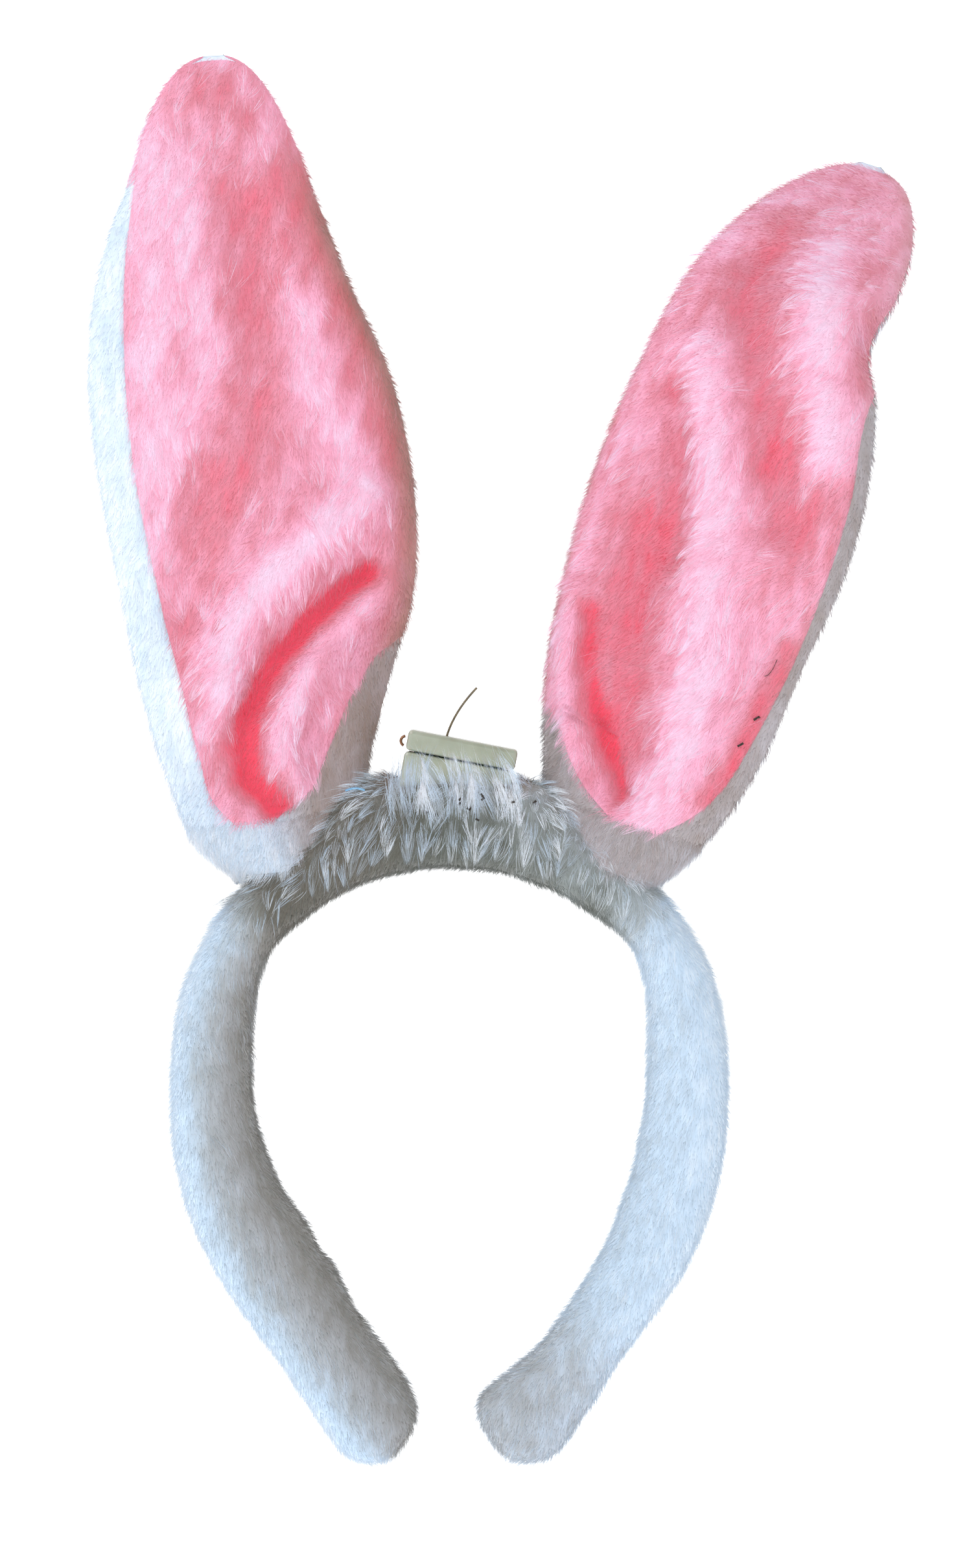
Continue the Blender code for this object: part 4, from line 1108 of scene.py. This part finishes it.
def dress(name, side, pink, points, normals, flat, part, hold, under, over):
    """Pile over some rows of a grid, attached as its cover is: a dense short coat and longer tufts."""
    ear = EARS[side]
    grids = points[part], normals[part], flat[part]
    seed = 61 + SIGN[side]
    roots, ups, where = scatter(*grids, int(under * PILE_SHARE))
    shade = shade_of_pink if pink else shade_of_white
    comb = comb_of_ear(ear, where, seed, swirl=0.2)
    coat = strands(roots, ups, comb, 2.8, shade(side, where), lean=62)
    roots, ups, where = scatter(*grids, int(over * PILE_SHARE))
    roots, ups, where = thinned(roots, ups, where, pink_fuzz(side, where) if pink else 0.35)
    comb = comb_of_ear(ear, where, seed)
    # The lift is a painted highlight on the tufts, strong on the pink, slight on the white.
    size, lift, vary = (6.0, 0.26, 0.16) if pink else (3.8, 0.03, 0.04)
    tufts = strands(
        roots, ups, comb, size, shade(side, where), lean=68, width=0.052, steps=3, clump=3.4, gather=0.85,
        spread=0.1, lift=lift, vary=vary,
    )
    hair = link_pile(name, PINK_PILE if pink else WHITE_PILE, coat, tufts)
    attach(hair, "pink_plush" if pink else "white_plush", *hold)


def tucked(points, normals, rows):
    """A copy of a grid with some border rows tucked just under the neighbouring piece."""
    moved = points.copy()
    moved[rows] -= normals[rows] * TUCK * MM
    return moved


def build_ear(side):
    ear = EARS[side]
    ear["origin"], ear["axes"] = ear_place(side)
    ear["heights"], ear["motion"] = inflate(ear)
    pace = FINE / MM * 0.8
    gather = np.linspace(SKIRT_TOP, GATHER_TOP, int((GATHER_TOP - SKIRT_TOP) / pace) + 1)
    bodyrows = np.linspace(GATHER_TOP, 160, int((160 - GATHER_TOP) / pace) + 1)[1:]
    share = np.linspace(0, 1, 16)[1:]
    cap = ear["top"] - (ear["top"] - 160) * (1 - share) ** 1.8 - 0.15 * share
    heights = np.concatenate([gather, bodyrows, cap])
    split, half = len(gather), int(np.searchsorted(heights, 100))

    def world_at(h):
        return Vector(to_world(ear, bent(ear, np.array([0.0, 0.0, h]))))

    def straight_at(h):
        return Vector(to_world(ear, np.array([0.0, 0.0, h])))

    root, lower, upper = (f"{side}_ear_{part}" for part in ("root", "lower", "upper"))
    root_hold = (root, lower, straight_at(5), straight_at(34))
    bend_at = world_at if ear["bend"] else straight_at
    bend_hold = (lower, upper, bend_at(BEND_FROM), bend_at(BEND_TO))
    for which, pink, cols in (("front", True, 46), ("back", False, 60)):
        points, flat = panel_grid(ear, heights, np.linspace(0, 1, cols), pink)
        normals = grid_normals(points, False)
        cloth, slot = (PINK_CLOTH, "pink_plush") if pink else (WHITE_CLOTH, "white_plush")
        # The panel's painted shade, painted highlight and painted warm shade.
        shades = (shade_of_pink if pink else shade_of_white)(side, flat.reshape(-1, 3))
        shades = np.stack([each.reshape(points.shape[:2]) for each in shades])
        border = tucked(points, normals, slice(split, None))
        label, nodes = f"{side}_{which}", (f"{side}_{which}_lower", f"{side}_{which}_upper")
        for part, grid, rows, hold, replaced in (
            ("gather", border, slice(0, split + 2), root_hold, ()),
            ("cover", points, slice(split - 1, None), bend_hold, nodes),
        ):
            sheet = shell(
                f"{label}_{part}", grid[rows], normals[rows], COVER_WALL * MM, cloth, False, shades[:, rows]
            )
            attach(sheet, slot, *hold, nodes=replaced)
        spans = (
            ("gather", slice(0, split), root_hold), ("low", slice(split - 1, half + 1), bend_hold),
            ("high", slice(half, None), bend_hold),
        )
        for (part, rows, hold), counts in zip(spans, PINK_COUNTS if pink else WHITE_COUNTS):
            dress(f"{label}_{part}_pile", side, pink, points, normals, flat, rows, hold, *counts)
        if pink:
            for name, column in zip(("outer", "inner") if side == "left" else ("inner", "outer"), (0, -1)):
                path = points[split - 1:-3, column] - normals[split - 1:-3, column] * SEAM_RADIUS * MM
                attach(cord(f"{side}_{name}_seam", path, SEAM_RADIUS * MM, SEAM), "thread", *bend_hold)
    build_skirt(side, ear, root)
    build_fill(side, ear, bend_hold)
    build_wire(side, ear, bend_hold)


def build_skirt(side, ear, root):
    """The pouch at the ear's foot, sewn over the band."""
    heights = np.append(np.linspace(COVER_BOTTOM, SKIRT_TOP, 9), SKIRT_TOP + 1.5)
    turn = np.linspace(0, 2 * math.pi, 80, endpoint=False)
    h, phi = np.meshgrid(heights, turn, indexing="ij")
    local = ear_surface(ear, h, phi)
    points = to_world(ear, local)
    normals = grid_normals(points, True)
    flat = np.stack([phi * 15, h], -1)

    # The skirt takes the white margins' painted light and shade.
    def shade(where, roots):
        turn = where[:, 0] / 15
        low, high = edges(ear, where[:, 1])
        x = (low + high) / 2 + (high - low) / 2 * np.cos(turn)
        return shade_of_white(side, np.stack([x, where[:, 1], -np.sin(turn)], -1))

    border = tucked(points, normals, slice(-1, None))
    hold = "crown", root, *(Vector(to_world(ear, np.array([0.0, 0.0, z]))) for z in (-6.0, 3.0))
    skirt = shell(
        f"{side}_skirt", border, normals, COVER_WALL * MM, WHITE_CLOTH, True, grid_shade(points, flat, shade)
    )
    attach(skirt, "white_plush", *hold, nodes=(f"{side}_root_saddle",))
    hair = band_pile(f"{side}_skirt_pile", points, normals, flat, SKIRT_COUNTS, shade, lambda where: 0.9)
    attach(hair, "white_plush", *hold)


def inside_ear(ear, h, phi, share):
    """The cover's front and back at a share of the way out from the middle: their mean and half their gap."""
    side = np.where(np.sin(phi) >= 0, 1, -1)
    turn = side * np.arccos(share * np.cos(phi))
    here, there = ear_surface(ear, h, turn), ear_surface(ear, h, -turn)
    return (here + there) / 2, side * (here[..., 1] - there[..., 1]) / 2


def build_fill(side, ear, hold):
    """Fibre fill: a slack lumpy pillow inside the cover."""
    heights = np.concatenate([np.linspace(24, 160, 46), np.linspace(163, 178, 8)])
    turn = np.linspace(0, 2 * math.pi, 40, endpoint=False)
    h, phi = np.meshgrid(heights, turn, indexing="ij")
    local, half = inside_ear(ear, h, phi, 0.86)
    plump = (0.80 + 0.08 * ripple(local[..., 0], h, 12, 71)) * np.clip((h - 22) / 10, 0.3, 1)
    depth = np.maximum(half * plump - 1.4, 0.25)
    local[..., 1] += depth * np.sign(np.sin(phi)) * np.abs(np.sin(phi)) ** 0.5
    fill = solid(f"{side}_fill", to_world(ear, bent(ear, local)), FILL)
    attach(fill, "fibre_fill", *hold, nodes=(f"{side}_fill_lower", f"{side}_fill_upper"))


def build_wire(side, ear, hold):
    """The ear's steel wire: from its fork at the root up one edge, round the tip and down the other."""
    legs = []
    for phi in (0.0, math.pi):
        h = np.linspace(26, ear["top"] - 14, 60)
        low, high = edges(ear, h)
        share = 1 - 10.0 / np.maximum(high - low, 20)
        middle, _ = inside_ear(ear, h, phi + 0 * h, share)
        fork = [(math.copysign(x, math.cos(phi)), 0.0, z) for x, z in ((4.5, 10.5), (13.5, 17.0))]
        legs.append(np.vstack([fork, middle]))
    foot = np.array([[0.0, 0.0, 7.8]])
    tip = (legs[0][-1] + legs[1][-1]) / 2 + np.array([0, 0, 6.0])
    path = np.vstack([foot, legs[0], tip, legs[1][::-1], foot])
    wire = cord(f"{side}_wire", to_world(ear, bent(ear, path)), WIRE_RADIUS * MM, STEEL)
    attach(wire, "steel_wire", *hold, nodes=(f"{side}_wire_lower", f"{side}_wire_upper"))


# ---------------------------------------------------------------- small finds in the pile


def on_front(x, z):
    """The place on the front of the finished object at an x and a height, in metres."""
    graph = bpy.context.evaluated_depsgraph_get()
    hit, place, *_ = bpy.context.scene.ray_cast(graph, Vector((x, -0.2, z)), Vector((0, 1, 0)))
    return np.array(place) if hit else np.array([x, 0.0, z])


def build_lint_and_specks():
    """A stray blue thread left of the box, dark lint in the right ear, and dark specks in the fur under the
    box.
    """
    share = np.linspace(0, 1, 7)
    path = np.array([on_front(-0.0249 + 0.0047 * t, 0.0186 + 0.0006 * math.sin(3 * t)) for t in share])
    path[:, 1] = path[:, 1].min() - 0.0006
    attach(cord("blue_thread", path, 0.00028, BLUE_THREAD), "thread", "crown")
    hair = np.array([on_front(0.0757 + 0.0030 * t, 0.0462 + 0.0040 * t * t) for t in share])
    attach(cord("dark_hair", hair - [0, 0.0003, 0], 0.00009, DARK_FLECK), "thread", "right_ear_lower")
    for number, place in enumerate(((0.0738, 0.0361), (0.0699, 0.0298))):
        middle = on_front(*place)
        speck = np.array([middle + [0.0007 * t, -0.0002, 0.0004 * t] for t in (-1, 0, 1)])
        attach(cord(f"ear_lint_{number}", speck, 0.0003, DARK_FLECK), "thread", "right_ear_lower")
    # Dark specks in the fur under the box.
    for number in range(14):
        middle = on_front(0.004 + 0.008 * rng.normal(0, 1), 0.0150 + 0.0022 * rng.normal(0, 1))
        turn = rng.uniform(0, math.pi)
        way = np.array([math.cos(turn), 0, math.sin(turn)]) * 0.0005
        crumb = cord(f"crown_lint_{number}", [middle - way, middle, middle + way], 0.0003, DARK_FLECK)
        attach(crumb, "thread", "crown")


# ---------------------------------------------------------------- finishes, stage, light, camera


def finish_nodes():
    for name, node in frame["nodes"].items():
        for key, material in NODE_FINISH:
            if key in name:
                node.data.materials.clear()
                node.data.materials.append(material)
                break
        if name.startswith("battery_box"):
            bevel = node.modifiers.new("soft_edges", "BEVEL")
            bevel.width = 0.35 * MM
            bevel.segments = 2


def build_stage():
    floor_z = cad_low.z - 0.0022
    near, far, half_width, radius, height = -7.0, 1.6, 8.0, 0.5, 4.0
    profile = [(near, floor_z), (far, floor_z)]
    for turn in np.linspace(0, math.pi / 2, 13)[1:]:
        profile.append((far + radius * math.sin(turn), floor_z + radius * (1 - math.cos(turn))))
    profile.append((far + radius, floor_z + height))
    rows = np.array([[(x, y, z) for x in (-half_width, half_width)] for y, z in profile])
    mat, tree, shader = new_material("pale_floor")
    pale = ramp_node(tree, noise_node(tree, 3), ((0.3, (0.90, 0.90, 0.90)), (0.7, (0.92, 0.92, 0.92))))
    feed(tree, shader, Base_Color=pale, Emission_Color=pale, Emission_Strength=FLOOR_GLOW, Roughness=0.9)
    link_mesh("sweep", rows.reshape(-1, 3), grid_faces(len(rows), 2, False), mat)


def area_light(name, place, target, size, power, colour):
    data = bpy.data.lights.new(name, "AREA")
    data.shape = "RECTANGLE"
    data.size, data.size_y = size
    data.energy = power
    data.color = colour
    lamp = bpy.data.objects.new(name, data)
    lamp.location = place
    lamp.rotation_euler = (Vector(target) - Vector(place)).to_track_quat("-Z", "Y").to_euler()
    bpy.context.scene.collection.objects.link(lamp)


def build_light():
    world = bpy.data.worlds.new("studio")
    world.use_nodes = True
    background = world.node_tree.nodes["Background"]
    feed(world.node_tree, background, Color=(0.97, 0.985, 1.0, 1), Strength=0.45)
    bpy.context.scene.world = world
    aim = (0.01, 0, 0.02)
    area_light("key", (-0.9, -1.1, 0.9), aim, (0.9, 0.9), 11, (1.0, 0.995, 0.98))
    area_light("fill", (1.2, -1.0, 0.3), aim, (1.2, 1.2), 2.5, (0.97, 0.98, 1.0))
    area_light("top", (0.0, 0.2, 1.3), aim, (1.2, 1.2), 4, (0.95, 0.98, 1.0))


def build_camera():
    height = 0.3801
    distance = 1.25
    aim = Vector((0.0099, 0, 0.0199))
    lift = math.radians(2.0)
    data = bpy.data.cameras.new("camera")
    data.sensor_width = 36
    data.lens = 18 / (height / 2 / distance)
    data.clip_start, data.clip_end = 0.01, 50
    camera = bpy.data.objects.new("camera", data)
    camera.location = aim + Vector((0, -math.cos(lift), math.sin(lift))) * distance
    camera.rotation_euler = (aim - camera.location).to_track_quat("-Z", "Y").to_euler()
    bpy.context.scene.collection.objects.link(camera)
    bpy.context.scene.camera = camera


build_sleeves()
for ear_side in SIDES:
    build_ear(ear_side)
build_lint_and_specks()
finish_nodes()
build_stage()
build_light()
build_camera()
bpy.context.scene.view_settings.view_transform = "Standard"
